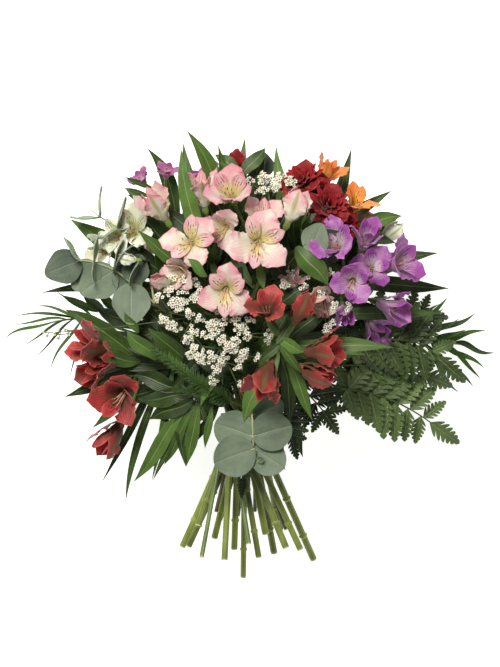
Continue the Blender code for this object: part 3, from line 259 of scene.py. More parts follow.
# Leaves by stem: place along the upper stem, tip, lift of the middle, width.
LEAVES = {
    "magenta": ((0.96, -92, 186, 92, 14, 0, -4, 13), (0.9, -112, 150, 96, 0, 4, 8, 9),
        (0.8, -110, 128, 70, 0, 0, 6, 14)),
    "pink_left": ((0.95, -61, 184, 152, -12, 0, 16, 14), (0.6, -70, -32, 118, -6, 0, 12, 10),
        (0.5, -44, -46, 122, -6, 0, 12, 10)),
    "dark_left": ((0.97, -56, 201, 128, 8, 0, 10, 14), (0.93, -28, 188, 132, 6, 0, 6, 10),
        (0.9, 14, 186, 110, 4, 0, 8, 15), (0.84, -4, 196, 70, 0, 0, -6, 13)),
    "white_left": ((0.94, -161, 122, 100, 0, 0, 12, 18), (0.88, -188, 56, 74, 0, 4, 16, 9),
        (0.84, -168, 76, 44, 0, 0, 8, 13), (0.7, -112, 8, 92, 0, 0, 12, 14)),
    "red_left": ((0.97, -166, 41, 94, 0, 6, 12, 17), (0.93, -167, -38, 72, 0, 0, 14, 12),
        (0.9, -142, -66, 48, 0, 0, -4, 12), (0.84, -134, -116, 46, 6, 10, -12, 7), (0.8, -112, -132, 62, -12, -4, 2, 7),
        (0.76, -88, -113, 86, 4, 6, 14, 7), (0.7, -57, -101, 96, -6, 0, 10, 10), (0.88, -86, 22, 124, 4, 0, 4, 14)),
    "white_right": ((0.96, 134, 124, 92, 0, 4, 8, 11), (0.92, 170, 92, 84, 0, 4, 12, 13),
        (0.86, 180, 60, 76, 0, 4, 12, 14)),
    "purple": ((0.82, 176, 38, 108, 0, 0, 8, 11), (0.7, 104, 0, 118, 0, 0, 10, 13)),
    "orange": ((0.95, 128, 148, 88, 0, 4, 6, 10), (0.9, 92, 186, 76, 6, 0, 4, 12)),
    "dark_red": ((0.92, 24, 188, 92, -4, 0, 4, 12), (0.85, 88, 76, 132, 0, 0, 6, 14)),
    "red_right": ((0.97, 128, 7, 160, 0, 2, 12, 13), (0.93, 56, -58, 136, 4, 0, 12, 11),
        (0.9, -5, -60, 142, -4, 0, 14, 17), (0.86, 36, -62, 118, 10, 0, 10, 12)),
    "pink_front": ((0.9, 52, 100, 160, 6, -4, 4, 14),),
    "pink_outer": ((0.9, -100, 112, 130, -4, 0, 8, 12),),
    "back_left": ((0.95, -112, 150, 22, 0, 0, 4, 15), (0.86, -128, 78, 0.6, 0, 0, 4, 16),
        (0.9, -60, 192, 26, 0, 0, 0, 14)),
    "back_right": ((0.95, 134, 128, 22, 0, 0, 4, 15), (0.88, 150, 88, 0.6, 0, 0, 4, 16),
        (0.92, 52, 176, 24, 0, 0, 2, 15), (0.84, 8, 158, 0.6, 0, 0, 4, 15)),
}

# Leaves that fill the head between the stems: root, tip, lift of the middle, width, lightness.
INNER_LEAVES = (
    (-84, -4, 118, -110, 22, 126, 6, 15, 0.8), (-100, 20, 118, -112, 38, 126, 3, 9, 0.8),
    (-98, -6, 100, -142, 2, 112, 8, 15, 0.5), (-137, 39, 60, -170, 54, 66, 4, 8, 0.6),
    (-130, 38, 62, -151, 56, 70, 4, 9, 0.6), (-118, 41, 64, -137, 54, 70, 4, 9, 0.6),
    (-60, -30, 110, -104, -18, 102, 6, 17, 0.2), (-52, -36, 108, -100, -40, 96, 8, 18, 0.4),
    (-50, -40, 108, -90, -58, 92, 6, 16, 0.3), (-44, -44, 106, -78, -80, 88, 6, 15, 0.7),
    (-58, -48, 104, -104, -114, 84, 4, 14, 0.9), (-56, -52, 102, -87, -113, 86, 2, 6, 0.5),
    (-52, -50, 104, -77, -99, 88, 6, 9, 0.7), (-46, -46, 106, -57, -100, 90, 8, 12, 0.8),
    (-34, -46, 106, -40, -84, 96, 8, 7, 0.8), (-28, -46, 106, -57, -86, 92, 2, 9, 0.1),
    (-70, -6, 96, -122, 22, 84, 6, 18, 0.1), (-72, -16, 92, -128, -4, 70, 6, 18, 0.1),
    (-64, -22, 92, -116, -44, 66, 6, 18, 0.2), (-64, 30, 98, -112, 62, 84, 6, 18, 0.1),
    (-60, 20, 98, -104, 44, 92, 6, 18, 0.1), (90, 50, 130, 114, 70, 138, 4, 17, 0.5),
    (8, 84, 150, 13, 58, 160, 4, 8, 1), (16, 86, 146, 40, 62, 152, 4, 18, 0.3), (24, 46, 148, 52, 62, 154, 4, 14, 0.3),
    (42, 97, 164, 70, 62, 168, 6, 21, 0.6), (-38, 70, 182, -55, 86, 190, 5, 9, 0.9),
    (92, 116, 110, 137, 125, 108, 5, 14, 0.9), (96, 110, 112, 131, 101, 106, 5, 13, 0.7),
    (80, 0, 84, 152, 8, 64, 6, 18, 0.1), (80, -6, 84, 146, -22, 52, 6, 18, 0.1),
    (74, -12, 84, 122, -44, 52, 6, 18, 0.1), (84, 26, 90, 148, 32, 74, 6, 17, 0.2),
    (52, -22, 92, 82, -50, 66, 6, 9, 0.2), (30, -30, 98, 48, -92, 84, 6, 12, 0.4),
    (36, -28, 98, 60, -62, 74, 6, 8, 0.2), (30, -8, 108, 58, 10, 112, 4, 16, 0.2),
    (14, 0, 110, 36, 30, 118, 4, 16, 0.2), (-6, 10, 112, -16, 48, 124, 4, 16, 0.1),
    (-30, 0, 112, -58, 28, 118, 4, 16, 0.1), (-36, -14, 110, -78, -4, 110, 4, 16, 0.1),
    (-14, -12, 112, -30, 22, 122, 4, 16, 0.1), (0, 60, 120, 18, 100, 128, 4, 16, 0.1),
    (-10, 84, 120, -26, 126, 124, 4, 16, 0.1), (-30, 76, 118, -70, 100, 118, 4, 16, 0.1),
    (-40, 100, 112, -74, 132, 110, 4, 16, 0.2), (20, 100, 116, 38, 140, 112, 4, 16, 0.1),
    (44, 84, 112, 78, 112, 108, 4, 16, 0.1), (60, 60, 110, 108, 80, 100, 4, 17, 0.1),
    (64, 40, 110, 118, 44, 96, 4, 17, 0.1), (60, 20, 112, 104, 16, 100, 4, 17, 0.1),
    (-70, -4, 88, -148, 12, 84, 6, 19, 0.2), (-74, -14, 86, -146, -16, 66, 6, 18, 0.1),
    (-40, -26, 92, -84, -36, 72, 4, 24, 0), (-28, -36, 92, -62, -62, 74, 4, 20, 0),
    (-44, 12, 88, -100, 30, 70, 4, 24, 0), (-20, 30, 92, -62, 64, 84, 4, 24, 0), (10, 10, 92, 56, 30, 84, 4, 24, 0),
    (20, -10, 90, 66, -22, 76, 4, 24, 0), (24, 50, 90, 70, 84, 80, 4, 24, 0), (-10, 70, 90, 10, 118, 84, 4, 24, 0),
    (-24, 84, 90, -70, 116, 76, 4, 24, 0), (-20, 110, 100, -36, 158, 104, 4, 16, 0.4),
    (4, 110, 104, 14, 160, 110, 4, 16, 0.3), (-70, 96, 96, -104, 132, 100, 4, 16, 0.3),
    (-70, 70, 92, -116, 100, 96, 4, 16, 0.2), (-6, 162, 124, -31, 180, 122, 4, 13, 0.6),
    (-8, 160, 122, 14, 186, 118, 4, 13, 0.5), (-36, -24, 72, -96, -2, 72, 4, 24, 0.1),
    (-14, -44, 72, -62, -26, 72, 4, 20, 0.1), (14, 118, 84, 26, 166, 92, 4, 22, 0.2),
    (-84, 148, 112, -112, 160, 118, 2, 5, 0.4), (-88, 142, 112, -113, 150, 118, 2, 5, 0.4),
    (-82, 132, 122, -110, 144, 124, 2, 5, 0.3), (-74, -10, 96, -134, -4, 96, 4, 16, 0.3),
    (20, -40, 100, 32, -104, 88, 4, 8, 0.2), (24, 10, 182, 46, 40, 172, 3, 9, 0.5),
    (24, 14, 180, 50, 3, 176, 5, 11, 0.9), (24, 14, 180, 46, -16, 172, 5, 8, 0.6), (28, 12, 180, 8, -8, 178, 4, 8, 0.4),
    (26, 16, 180, 16, 36, 182, 4, 8, 0.5), (-92, 22, 70, -140, 44, 72, 4, 16, 0.2),
)

# Round leaves by sprig: the place where each is held, its far edge, the way its front looks, its diameter.
DISCS = {
    "eucalyptus_left": (
        (-106, 64, 118, -106, 38, 122, 0.1, 0.1, 1, 35), (-106, 64, 118, -96, 96, 118, 0.3, -0.2, 1, 26),
        (-121, 76, 122, -148, 58, 118, -0.1, -0.2, 1, 35), (-121, 76, 122, -103, 103, 134, 0.83, -0.55, 0.15, 29),
        (-152, 85, 122, -180, 74, 118, 0, 0, 1, 32), (-139, 83, 122, -158, 58, 112, 0.1, 0, 1, 30),
        (-152, 85, 122, -168, 108, 134, 0.8, 0.58, 0.15, 26), (-139, 83, 122, -136, 110, 134, 1, 0, 0.15, 27),
        (-139, 83, 124, -139, 66, 128, 1, 0, 0.2, 20), (-121, 76, 122, -113, 109, 138, 1, -0.2, 0.14, 29),
        (-106, 64, 120, -100, 86, 136, 1, -0.25, 0.25, 23), (-121, 76, 120, -99, 61, 114, 0, 0.1, 1, 27),
    ),
    "eucalyptus_side": (
        (-134, 124, 120, -133, 152, 130, 1, 0, 0.03, 27), (-134, 124, 120, -162, 123, 126, 0, 1, 0.06, 26),
        (-118, 114, 120, -110, 144, 130, 1, -0.3, 0.04, 28), (-118, 114, 120, -136, 104, 126, -0.4, 1, 0.06, 20),
        (-118, 114, 120, -106, 115, 124, 0, 1, 0.3, 12),
    ),
    "eucalyptus_right": (
        (58, 96, 132, 72, 132, 146, -0.35, 0, 1, 26), (58, 96, 132, 82, 88, 132, 0.1, 0.1, 1, 24),
        (12, 160, 94, 11, 182, 98, 0, 0, 1, 22),
        (54, 92, 160, 67, 124, 172, -0.3, -0.1, 1, 27), (62, 104, 156, 86, 112, 166, 0, -0.6, 0.5, 20),
    ),
    "eucalyptus_front": (
        (2, -54, 134, 27, -45, 132, 0.2, -0.1, 1, 30), (3, -73, 142, -29, -62, 141, 0, -0.15, 1, 36),
        (3, -73, 142, 28, -66, 145, 0.1, -0.15, 1, 36), (4, -84, 142, -29, -96, 148, 0, -0.1, 1, 38),
        (4, -84, 138, 26, -98, 137, 0.15, 0, 1, 32), (7, -96, 138, 14, -88, 146, 0.1, 0, 1, 8),
    ),
    "eucalyptus_back": (
        (0, 14, 10, -30, 30, 4, 0, 0, 1, 34), (0, 14, 10, 32, 34, 4, 0, 0, 1, 34),
    ),
}

# Leaflets by frond: place along the rib, tip, width.
LEAFLETS = {
    "palm_left": (
        (0.1, -176, 58, 30, 7), (0.3, -196, 44, 20, 7), (0.5, -214, 35, 12, 7), (0.7, -216, 27, 8, 6),
        (1, -224, 14, 0.6, 7), (0.8, -206, 8, 4, 6), (0.6, -196, -4, 4, 6), (0.4, -182, -16, 4, 7),
        (0.2, -164, -22, 10, 7),
    ),
    "palm_right": (
        (0, 172, 46, 40, 7), (0.2, 180, 52, 30, 7), (0.4, 205, 38, 22, 7), (0.6, 216, 22, 12, 7),
        (1, 223, 2, 0.6, 7), (0.8, 214, -12, 4, 6), (0.6, 204, -29, 4, 6), (0.4, 190, -34, 6, 7),
        (0.2, 168, -30, 12, 7), (0.5, 197, 23, 24, 6), (0.6, 193, 9, 20, 5),
        (0.15, 176, 42, 34, 6), (0.35, 190, 33, 27, 5), (0.9, 211, -22, 5, 5),
    ),
}

# White filler: the spray's forks, and its crowns with the fork that each grows from.
FILLER_FORKS = ((-50, 34, 140), (-26, 6, 150), (26, 68, 146))
FILLER_CROWNS = (
    (0, -72, 38, 152), (0, -58, 46, 156), (0, -48, 30, 162), (0, -62, 12, 146), (1, -44, 8, 162), (1, -34, 24, 168),
    (1, -22, 10, 172), (1, -36, -10, 156), (1, -20, -8, 166), (1, -8, 20, 172), (1, -8, 0, 166), (1, -24, -26, 150),
    (1, -6, -36, 150), (2, 18, 68, 168), (2, 30, 62, 160), (2, 68, 74, 154), (2, 16, 154, 142), (2, 24, 146, 146),
    (0, -150, 21, 100),
)
# Knots of tiny florets: across and up the head, seen from above, and the number of florets where it is fixed.
FILLER_KNOTS = (
    (-70, 68), (-59, 68), (-49, 65), (-81, 52), (-68, 47), (-59, 47), (-64, 42), (-54, 37), (-44, 57), (-49, 51),
    (-40, 50), (-36, 54), (-77, 32), (-71, 27), (-65, 25), (-30, 41), (-51, 23), (-56, 14), (-50, 18), (-31, 29),
    (-35, 27), (-40, 17), (-32, 20), (-26, 14), (-29, 23), (-18, 37), (-13, 33), (-8, 41), (-6, 25), (-10, 23),
    (-2, 18), (-13, 12), (-14, 6), (-52, 0), (-40, 2), (-33, 0), (-40, -6), (-23, 0), (-26, -7), (-30, -13), (-5, 2),
    (-9, -2), (-10, -10), (7, -2), (-33, -23), (-7, -25), (16, 15), (19, 20), (1, 31), (-16, 51), (-10, 52),
    (37, 72), (31, 63), (54, 74), (48, 61), (64, 54), (72, 73), (75, 43), (72, 29), (69, 23), (88, 43), (-1, 155),
    (12, 160), (12, 155), (23, 155), (19, 149), (24, 150), (9, 146), (37, 157), (36, 153), (14, 150), (-49, 6),
    (-45, -2), (-20, 8), (-22, 30), (-45, 33), (-60, 57), (-72, 58), (17, 158), (27, 160),
    (-182, 20, 2), (-172, 18, 3), (-164, 22, 2),
)

# Florets that are paler (towards 1) or more flushed (towards 0) than the rest.
PALENESS = {"pink_bloom_1": 0.8, "pink_bloom_2": 0.0, "pink_bloom_3": 0.5, "pink_bloom_6": 0.85, "red_bloom_1": 0.2}

# Sprigs and fronds: the path of each twig or rib past its stem's top.
SPRIGS = {
    "eucalyptus_left": ((-106, 64, 118), (-121, 76, 122), (-139, 83, 122), (-152, 85, 122)),
    "eucalyptus_right": ((58, 96, 132), (62, 104, 136), (66, 110, 138), (70, 114, 140)),
    "eucalyptus_front": ((2, -52, 142), (3, -73, 142), (4, -84, 138), (7, -103, 126)),
    "eucalyptus_back": ((0, 14, 10), (0, 0, 5), (2, -12, 6), (4, -20, 8)),
    "palm_left": ((-136, 30, 22), (-156, 33, 14), (-178, 30, 8)),
    "palm_right": ((140, 14, 26), (160, 12, 17), (184, 10, 9)),
    "eucalyptus_side": ((-92, 78, 84), (-103, 100, 104), (-118, 114, 120), (-134, 124, 120), (-142, 130, 118)),
}

# Fern fronds by stem, and the smaller ones that come out of the tie: rib, lengths of the pinnae
# at its foot, middle and tip, number of pairs, lightness.
FRONDS = {
    "fern_upper": ((((96, 12, 98), (128, 14, 96), (158, 8, 86), (192, -22, 62)), (34, 40, 18), 7, 0.35),),
    "fern_lower": ((((84, -30, 92), (116, -36, 84), (150, -52, 68), (187, -78, 40)), (34, 40, 18), 7, 0.6),),
    "fern_side": (
        (((20, -34, 102), (28, -50, 106), (36, -68, 102), (42, -90, 92)), (16, 22, 11), 7, 0.0),
        (((-4, -84, 110), (-5, -94, 110), (-6, -104, 108), (-7, -124, 104)), (9, 10, 9), 4, 0.0),
        (((36, -14, 106), (52, -34, 104), (66, -50, 96), (78, -68, 84)), (24, 30, 14), 5, 0.1),
        (((72, -9, 88), (112, -10, 86), (150, -15, 72), (180, -27, 52)), (32, 36, 18), 6, 0.5),
        (((84, 8, 84), (120, 32, 84), (150, 36, 72), (176, 34, 56)), (28, 30, 16), 6, 0.2),
        (((60, -20, 84), (94, -24, 78), (126, -30, 62), (152, -40, 50)), (32, 38, 18), 5, 0.4),
        (((-30, -30, 108), (-44, -44, 106), (-54, -56, 98), (-60, -70, 88)), (14, 16, 9), 5, 0.3),
    ),
}

# Fine-needled sprigs under the filler and the red florets: root, middle, tip, length of the needles, lightness.
PLUMES = (
    ((-8, -46, 104), (-44, -28, 140), (-86, 6, 128), 11.0, 0.8),
    ((-8, -46, 104), (-30, -34, 128), (-66, -30, 122), 9.0, 0.4),
    ((-10, -44, 104), (-40, -4, 134), (-76, 36, 132), 10.0, 0.2),
    ((-6, -44, 104), (-16, -10, 140), (-40, 34, 146), 10.0, 0.1),
    ((-4, -44, 104), (4, -16, 140), (0, 40, 150), 10.0, 0.1),
    ((-2, -44, 104), (30, 0, 130), (44, 52, 146), 10.0, 0.1),
    ((0, -44, 102), (44, -20, 130), (96, 22, 110), 10.0, 0.3),
    ((-2, -46, 102), (20, -40, 128), (44, -46, 118), 8.0, 0.2),
)


def make_draw(seed: int) -> np.random.Generator:
    """Gives a source of small differences that is the same in each run."""
    return np.random.default_rng(int(seed))


def unit(vector: Any) -> np.ndarray:
    """Gives the vector at length one."""
    vector = np.asarray(vector, float)
    return vector / np.linalg.norm(vector)


def unit_rows(vectors: np.ndarray) -> np.ndarray:
    """Gives each row at length one."""
    return vectors / np.maximum(np.linalg.norm(vectors, axis=-1, keepdims=True), 1e-9)


def bow(start: Any, middle: Any, tip: Any, shares: Any) -> np.ndarray:
    """Places on the curve from start to tip that is drawn towards middle.

    Args:
        start: First place.
        middle: The place that the curve leans to.
        tip: Last place.
        shares: Shares of the length, from 0 to 1.

    Returns:
        One row for each share.
    """
    shares = np.atleast_1d(shares)[:, None]
    near = (1 - shares) ** 2 * np.asarray(start, float)
    return near + 2 * shares * (1 - shares) * np.asarray(middle, float) + shares**2 * np.asarray(tip, float)


def bow_ways(start: Any, middle: Any, tip: Any, shares: Any) -> np.ndarray:
    """The directions of the curve of bow.

    Args:
        start: First place.
        middle: The place that the curve leans to.
        tip: Last place.
        shares: Shares of the length, from 0 to 1.

    Returns:
        One row of length one for each share.
    """
    start, middle, tip = (np.asarray(place, float) for place in (start, middle, tip))
    shares = np.atleast_1d(shares)[:, None]
    return unit_rows((1 - shares) * (middle - start) + shares * (tip - middle))


def smooth_table(table: tuple, shares: np.ndarray) -> np.ndarray:
    """Reads a table of (share, value) with a smooth curve through its rows.

    Args:
        table: Rows of share and value, in order.
        shares: Where to read it.

    Returns:
        One value for each share.
    """
    xs, ys = np.array(table, float).T
    slopes = np.gradient(ys, xs)
    low = np.clip(np.searchsorted(xs, shares, side="right") - 1, 0, len(xs) - 2)
    span = xs[low + 1] - xs[low]
    t = (shares - xs[low]) / span
    value = (2 * t**3 - 3 * t**2 + 1) * ys[low] + (t**3 - 2 * t**2 + t) * span * slopes[low]
    value += (-2 * t**3 + 3 * t**2) * ys[low + 1] + (t**3 - t**2) * span * slopes[low + 1]
    return np.maximum(value, LEAST_SHARE)


def outward(place: np.ndarray) -> np.ndarray:
    """The way that the foliage at a place looks: out from the heart of the head, and up."""
    return unit((place - HEART) * OUTWARD_PULL + UPWARD_PULL * UP)


def path_place(path: np.ndarray, share: float) -> np.ndarray:
    """Reads a place on a path of evenly counted points.

    Args:
        path: Its points, in rows.
        share: Share of the path, from 0 to 1.

    Returns:
        The place.
    """
    spot = share * (len(path) - 1)
    low = min(int(spot), len(path) - 2)
    return path[low] + (path[low + 1] - path[low]) * (spot - low)


def stem_path(name: str) -> np.ndarray:
    """The places of a stem from its cut end to its head."""
    return np.array(STEMS[name][1:], float)


def along_stem(name: str, share: float) -> np.ndarray:
    """A place along the part of a stem above the tie."""
    return path_place(stem_path(name)[1:], share)


def linear(code: str) -> tuple[float, float, float, float]:
    """Turns an sRGB colour into linear values.

    Args:
        code: The colour, as in #ff8800.

    Returns:
        Red, green, blue and an alpha of one.
    """
    parts = [int(code[index : index + 2], 16) / 255 for index in (1, 3, 5)]
    red, green, blue = (part / 12.92 if part <= 0.04045 else ((part + 0.055) / 1.055) ** 2.4 for part in parts)
    return red, green, blue, 1.0


def store_values(mesh: bpy.types.Mesh, name: str, values: Any, kind: str = "FLOAT") -> None:
    """Stores a value or row for each point of a mesh, under the name that finishes and trees read it by."""
    part = "vector" if kind == "FLOAT_VECTOR" else "value"
    mesh.attributes.new(name, kind, "POINT").data.foreach_set(part, np.ravel(values))


class Graph:
    """A node tree, of a material or of geometry, while it is built."""

    def __init__(self, tree: Any) -> None:
        """Takes the tree."""
        self.tree = tree

    def add(self, kind: str, *values: Any, out: int = 0, at: dict | None = None, **settings: Any) -> Any:
        """Adds a node with its settings and links.

        Args:
            kind: The node's type name, and its operation after a space where it has one.
            values: What its first inputs get: a socket to link, a value to set, or None to leave one as it is.
            out: Number of the output to give back.
            at: What other inputs get, by name or number.
            settings: Attributes to set.

        Returns:
            That output socket, or the node where it has none.
        """
        kind, _, operation = kind.partition(" ")
        node = self.tree.nodes.new(kind)
        if operation:
            node.operation = operation
        for name, value in settings.items():
            setattr(node, name, value)
        for key, value in [*enumerate(values), *(at or {}).items()]:
            if isinstance(value, bpy.types.NodeSocket):
                self.tree.links.new(value, node.inputs[key])
            elif value is not None:
                node.inputs[key].default_value = value
        return node.outputs[out] if len(node.outputs) else node


class MaterialGraph(Graph):
    """The nodes of one finish round its Principled shader."""

    def __init__(self, name: str) -> None:
        """Starts a material.

        Args:
            name: Its name.
        """
        self.material = bpy.data.materials.new(name)
        self.material.use_nodes = True
        super().__init__(self.material.node_tree)

    def values(self, *names: str) -> list:
        """The stored values of these names at a point."""
        return [self.add(VALUE_OF, attribute_name=name, out=2) for name in names]

    def blade_chart(self) -> tuple:
        """Reads where on its blade a point is.

        Returns:
            How far along it, from -1 to 1 across it, how near its edge, and the place in space.
        """
        chart = self.add("ShaderNodeSeparateXYZ", self.add("ShaderNodeUVMap", uv_map=UV_NAME))
        across = self.add(TIMES_PLUS, chart, 2.0, -1.0)
        edge = self.add(SIZE_OF, across)
        return chart.node.outputs[1], across, edge, self.add(COORDINATES, out=3)

    def coats(self, colour: Any, *rows: tuple) -> Any:
        """Lays colours over a colour, one after another.

        Args:
            colour: What lies below, as a socket or a value.
            rows: For each coat its guide, the guide's value where it starts and where it is full, its most, its colour.

        Returns:
            Colour socket of the last coat.
        """
        for guide, low, high, most, code in rows:
            share = self.add(RANGE, guide, low, high, 0.0, most)
            colour = self.add(BLEND, share, colour, linear(code))
        return colour

    def finish(self, colour: Any, height: Any, strength: float, depth: float, **sockets: Any) -> bpy.types.Material:
        """Links colour and relief to the shader.

        Args:
            colour: Colour socket or value.
            height: Height socket.
            strength: How much of the relief shows.
            depth: Its depth in metres.
            sockets: Values of the shader's other sockets, with _ for a space.

        Returns:
            The material.
        """
        shader = self.tree.nodes["Principled BSDF"]
        bump = self.add("ShaderNodeBump", at={"Strength": strength, "Distance": depth, "Height": height})
        self.tree.links.new(bump, shader.inputs["Normal"])
        if isinstance(colour, bpy.types.NodeSocket):
            self.tree.links.new(colour, shader.inputs["Base Color"])
        else:
            shader.inputs["Base Color"].default_value = colour
        for name, value in sockets.items():
            shader.inputs[name.replace("_", " ")].default_value = value
        return self.material


@dataclass(frozen=True)
class PetalFinish:
    """Fresh alstroemeria petal: thin, soft and a little translucent, with fan-like veins and short dark dashes."""

    name: str
    throat: str
    body: str
    pearl: str
    edge: str
    vein: str
    dash: str
    stripe: str
    ovary: str
    vein_depth: float = 0.35
    dash_depth: float = 1.0
    stripe_depth: float = 0.8
    edge_reach: float = 0.75

    def material(self) -> bpy.types.Material:
        """Builds the petal's material: colours run along each tepal's own length and width.

        Returns:
            The material.
        """
        graph = MaterialGraph(self.name)
        add = graph.add
        along, across, edge, spots = graph.blade_chart()
        tone, layer, back = graph.values("tone", "layer", "back")
        # Soft patches 12 mm across.
        patches = add(NOISE, spots, None, 80.0, 2.0)
        upper = add(RANGE, along, 0.28, 0.7)
        throat = add(BLEND, add(RANGE, layer, 0.0, 1.0, 0.2, 1.0), linear(self.pearl), linear(self.throat))
        colour = graph.coats(throat, (along, 0.32, 0.68, 1.0, self.body))
        # Some outer tepals have pearly patches.
        pearl = add(TIMES, add(RANGE, patches, 0.54, 0.4, 0.0, 0.8), upper)
        pearl = add(TIMES, pearl, add(RANGE, layer, 0.9, 0.1))
        colour = add(BLEND, pearl, colour, linear(self.pearl))
        # The edge and some patches are flushed, more on some tepals than on others.
        rim = add(POWER, edge, 2.4)
        flush = add(PLUS, rim, add(RANGE, patches, 0.42, 0.62, 0.0, 0.6))
        flush = add(PLUS, flush, add(RANGE, along, 0.85, 1.0, 0.0, 0.5))
        for factor in (upper, add(RANGE, tone, 0.0, 1.0, 1.4, 0.25)):
            flush = add(TIMES, flush, factor)
        colour = graph.coats(colour, (flush, 0.0, 1.2, self.edge_reach, self.edge))
        # Veins that fan out over the blade, 2.7 mm apart where it is widest.
        shifted = add(TIMES, patches, 3.0)
        lines = add(SINE, add(TIMES_PLUS, across, 30.0, shifted))
        veins = add(RANGE, lines, 0.1, 1.0, 0.0, self.vein_depth)
        veins = add(TIMES, veins, add(RANGE, patches, 0.4, 0.6, 0.25, 1.0))
        colour = add(BLEND, veins, colour, linear(self.vein))
        # Dashes on the front of the inner tepals: broken lines 2.7 mm apart and 3 to 8 mm long.
        rows = add(COSINE, add(TIMES, across, 17.0))
        spread = add(TIMES_PLUS, across, 4.0, tone)
        stretch = add(TIMES_PLUS, along, 5.0, tone)
        breaks = add(NOISE, add("ShaderNodeCombineXYZ", spread, stretch, tone), None, 1.6, 0.0)
        dashes = add(TIMES, add(RANGE, rows, 0.45, 0.75), add(RANGE, breaks, 0.47, 0.52))
        windows = ((along, 0.24, 0.32), (along, 0.86, 0.7), (edge, 0.85, 0.6), (back, 0.6, 0.4))
        for source, low, high in windows:
            dashes = add(TIMES, dashes, add(RANGE, source, low, high))
        dashes = add(TIMES, dashes, add(RANGE, layer, 0.4, 0.6, 0.0, self.dash_depth))
        # A green stripe down the back of each tepal, a green point at its tip, and the green ovary below.
        stripe = add(RANGE, edge, 0.26, 0.08, 0.0, self.stripe_depth)
        for low, high, source in ((0.4, 0.6, back), (0.2, 0.5, along)):
            stripe = add(TIMES, stripe, add(RANGE, source, low, high))
        point = add(RANGE, along, 0.955, 1.0, 0.0, self.stripe_depth)
        cup = add(TIMES, add(RANGE, layer, 1.4, 1.6), add(RANGE, along, 1.5, 0.6))
        for share, code in ((dashes, self.dash), (stripe, self.stripe), (point, self.stripe), (cup, self.ovary)):
            colour = add(BLEND, share, colour, linear(code))
        bright = add(RANGE, tone, 0.0, 1.0, 0.84, 1.04)
        colour = add(BRIGHTEN, at={"Value": bright, "Color": colour})
        height = add(TIMES_PLUS, lines, 0.4, patches)
        soft = {"Subsurface_Weight": 0.25, "Subsurface_Radius": (1.0, 0.45, 0.35), "Subsurface_Scale": 0.002}
        return graph.finish(
            colour, height, 0.4, 0.0005, Roughness=0.5, Specular_IOR_Level=0.35, Sheen_Weight=0.08, **soft
        )


@dataclass(frozen=True)
class LeafFinish:
    """Fresh leaf: a waxy upper face with a paler midrib and long veins, and a duller, paler underside."""

    name: str
    dark: str
    light: str
    rib: str
    under: str
    tip: str
    veins: float = 34.0
    rib_width: float = 0.07
    roughness: float = 0.42
    vein_depth: float = 0.3
    gloss: float = 0.4
    rim: float = 0.0

    def material(self) -> bpy.types.Material:
        """Builds the leaf's material on its own length and width.

        Returns:
            The material.
        """
        graph = MaterialGraph(self.name)
        add = graph.add
        along, across, edge, spots = graph.blade_chart()
        tone, back = graph.values("tone", "back")
        # Clouding 15 mm across and mottling 2 mm across.
        clouds = add(NOISE, spots, None, 65.0, 3.0)
        mottle = add(NOISE, spots, None, 500.0, 1.0)
        share = add(TIMES_PLUS, mottle, 0.3, add(TIMES_PLUS, clouds, 0.9, tone))
        # Long veins: a value of 34 sets them 1.4 mm apart on a leaf 15 mm wide.
        lines = add(SINE, add(TIMES_PLUS, across, self.veins, clouds))
        colour = graph.coats(
            linear(self.dark),
            (share, 0.62, 1.7, 1.0, self.light),
            (lines, 0.2, 1.0, self.vein_depth, self.light),
            (edge, self.rib_width, self.rib_width * 0.3, 0.75, self.rib),
            (edge, 0.7, 1.0, self.rim, self.rib),
            (along, 0.88, 1.0, 0.7, self.tip),
            (back, 0.4, 0.6, 0.85, self.under),
        )
        bright = add(RANGE, tone, 0.0, 1.0, 0.62, 1.18)
        colour = add(BRIGHTEN, at={"Value": bright, "Color": colour})
        groove = add(RANGE, edge, 0.0, 0.12, -1.2, 0.0)
        height = add(PLUS, add(TIMES_PLUS, lines, 0.35, groove), clouds)
        soft = {"Subsurface_Weight": 0.08, "Subsurface_Radius": (0.5, 1.0, 0.2), "Subsurface_Scale": 0.0015}
        return graph.finish(
            colour, height, 0.4, 0.0005, Roughness=self.roughness, Specular_IOR_Level=self.gloss, **soft
        )


@dataclass(frozen=True)
class StemFinish:
    """Cut stem: fine ridges along it, patchy colour, darker up in the shade, and a pale wet cut end."""

    name: str
    dark: str
    light: str
    cut: str
    roughness: float = 0.45

    def material(self) -> bpy.types.Material:
        """Builds the stem's material on its length and its girth.

        Returns:
            The material.
        """
        graph = MaterialGraph(self.name)
        add = graph.add
        along, around, tone = graph.values("along", "around", "tone")
        # Patches 29 mm long and 8 mm wide, and nine ridges about 2 mm apart.
        longer = add("ShaderNodeMapping", add(COORDINATES, out=3), at={"Scale": (120.0, 35.0, 120.0)})
        patches = add(NOISE, longer, None, 1.0, 3.0)
        share = add(TIMES_PLUS, tone, 0.8, patches)
        # Painted shade: the stem darkens from near its cut end up to the tie and stays dark above it, under the head.
        share = add(MINUS, share, add(RANGE, along, 0.12, 0.42, 0.0, 0.45))
        ridges = add(SINE, add(TIMES, around, 2 * math.pi * 9))
        colour = graph.coats(
            linear(self.dark),
            (share, 0.4, 1.3, 1.0, self.light),
            (ridges, 0.0, 1.0, 0.18, self.light),
            (along, 0.006, 0.0, 0.9, self.cut),
        )
        height = add(TIMES_PLUS, ridges, 0.5, patches)
        return graph.finish(colour, height, 0.3, 0.0004, Roughness=self.roughness)


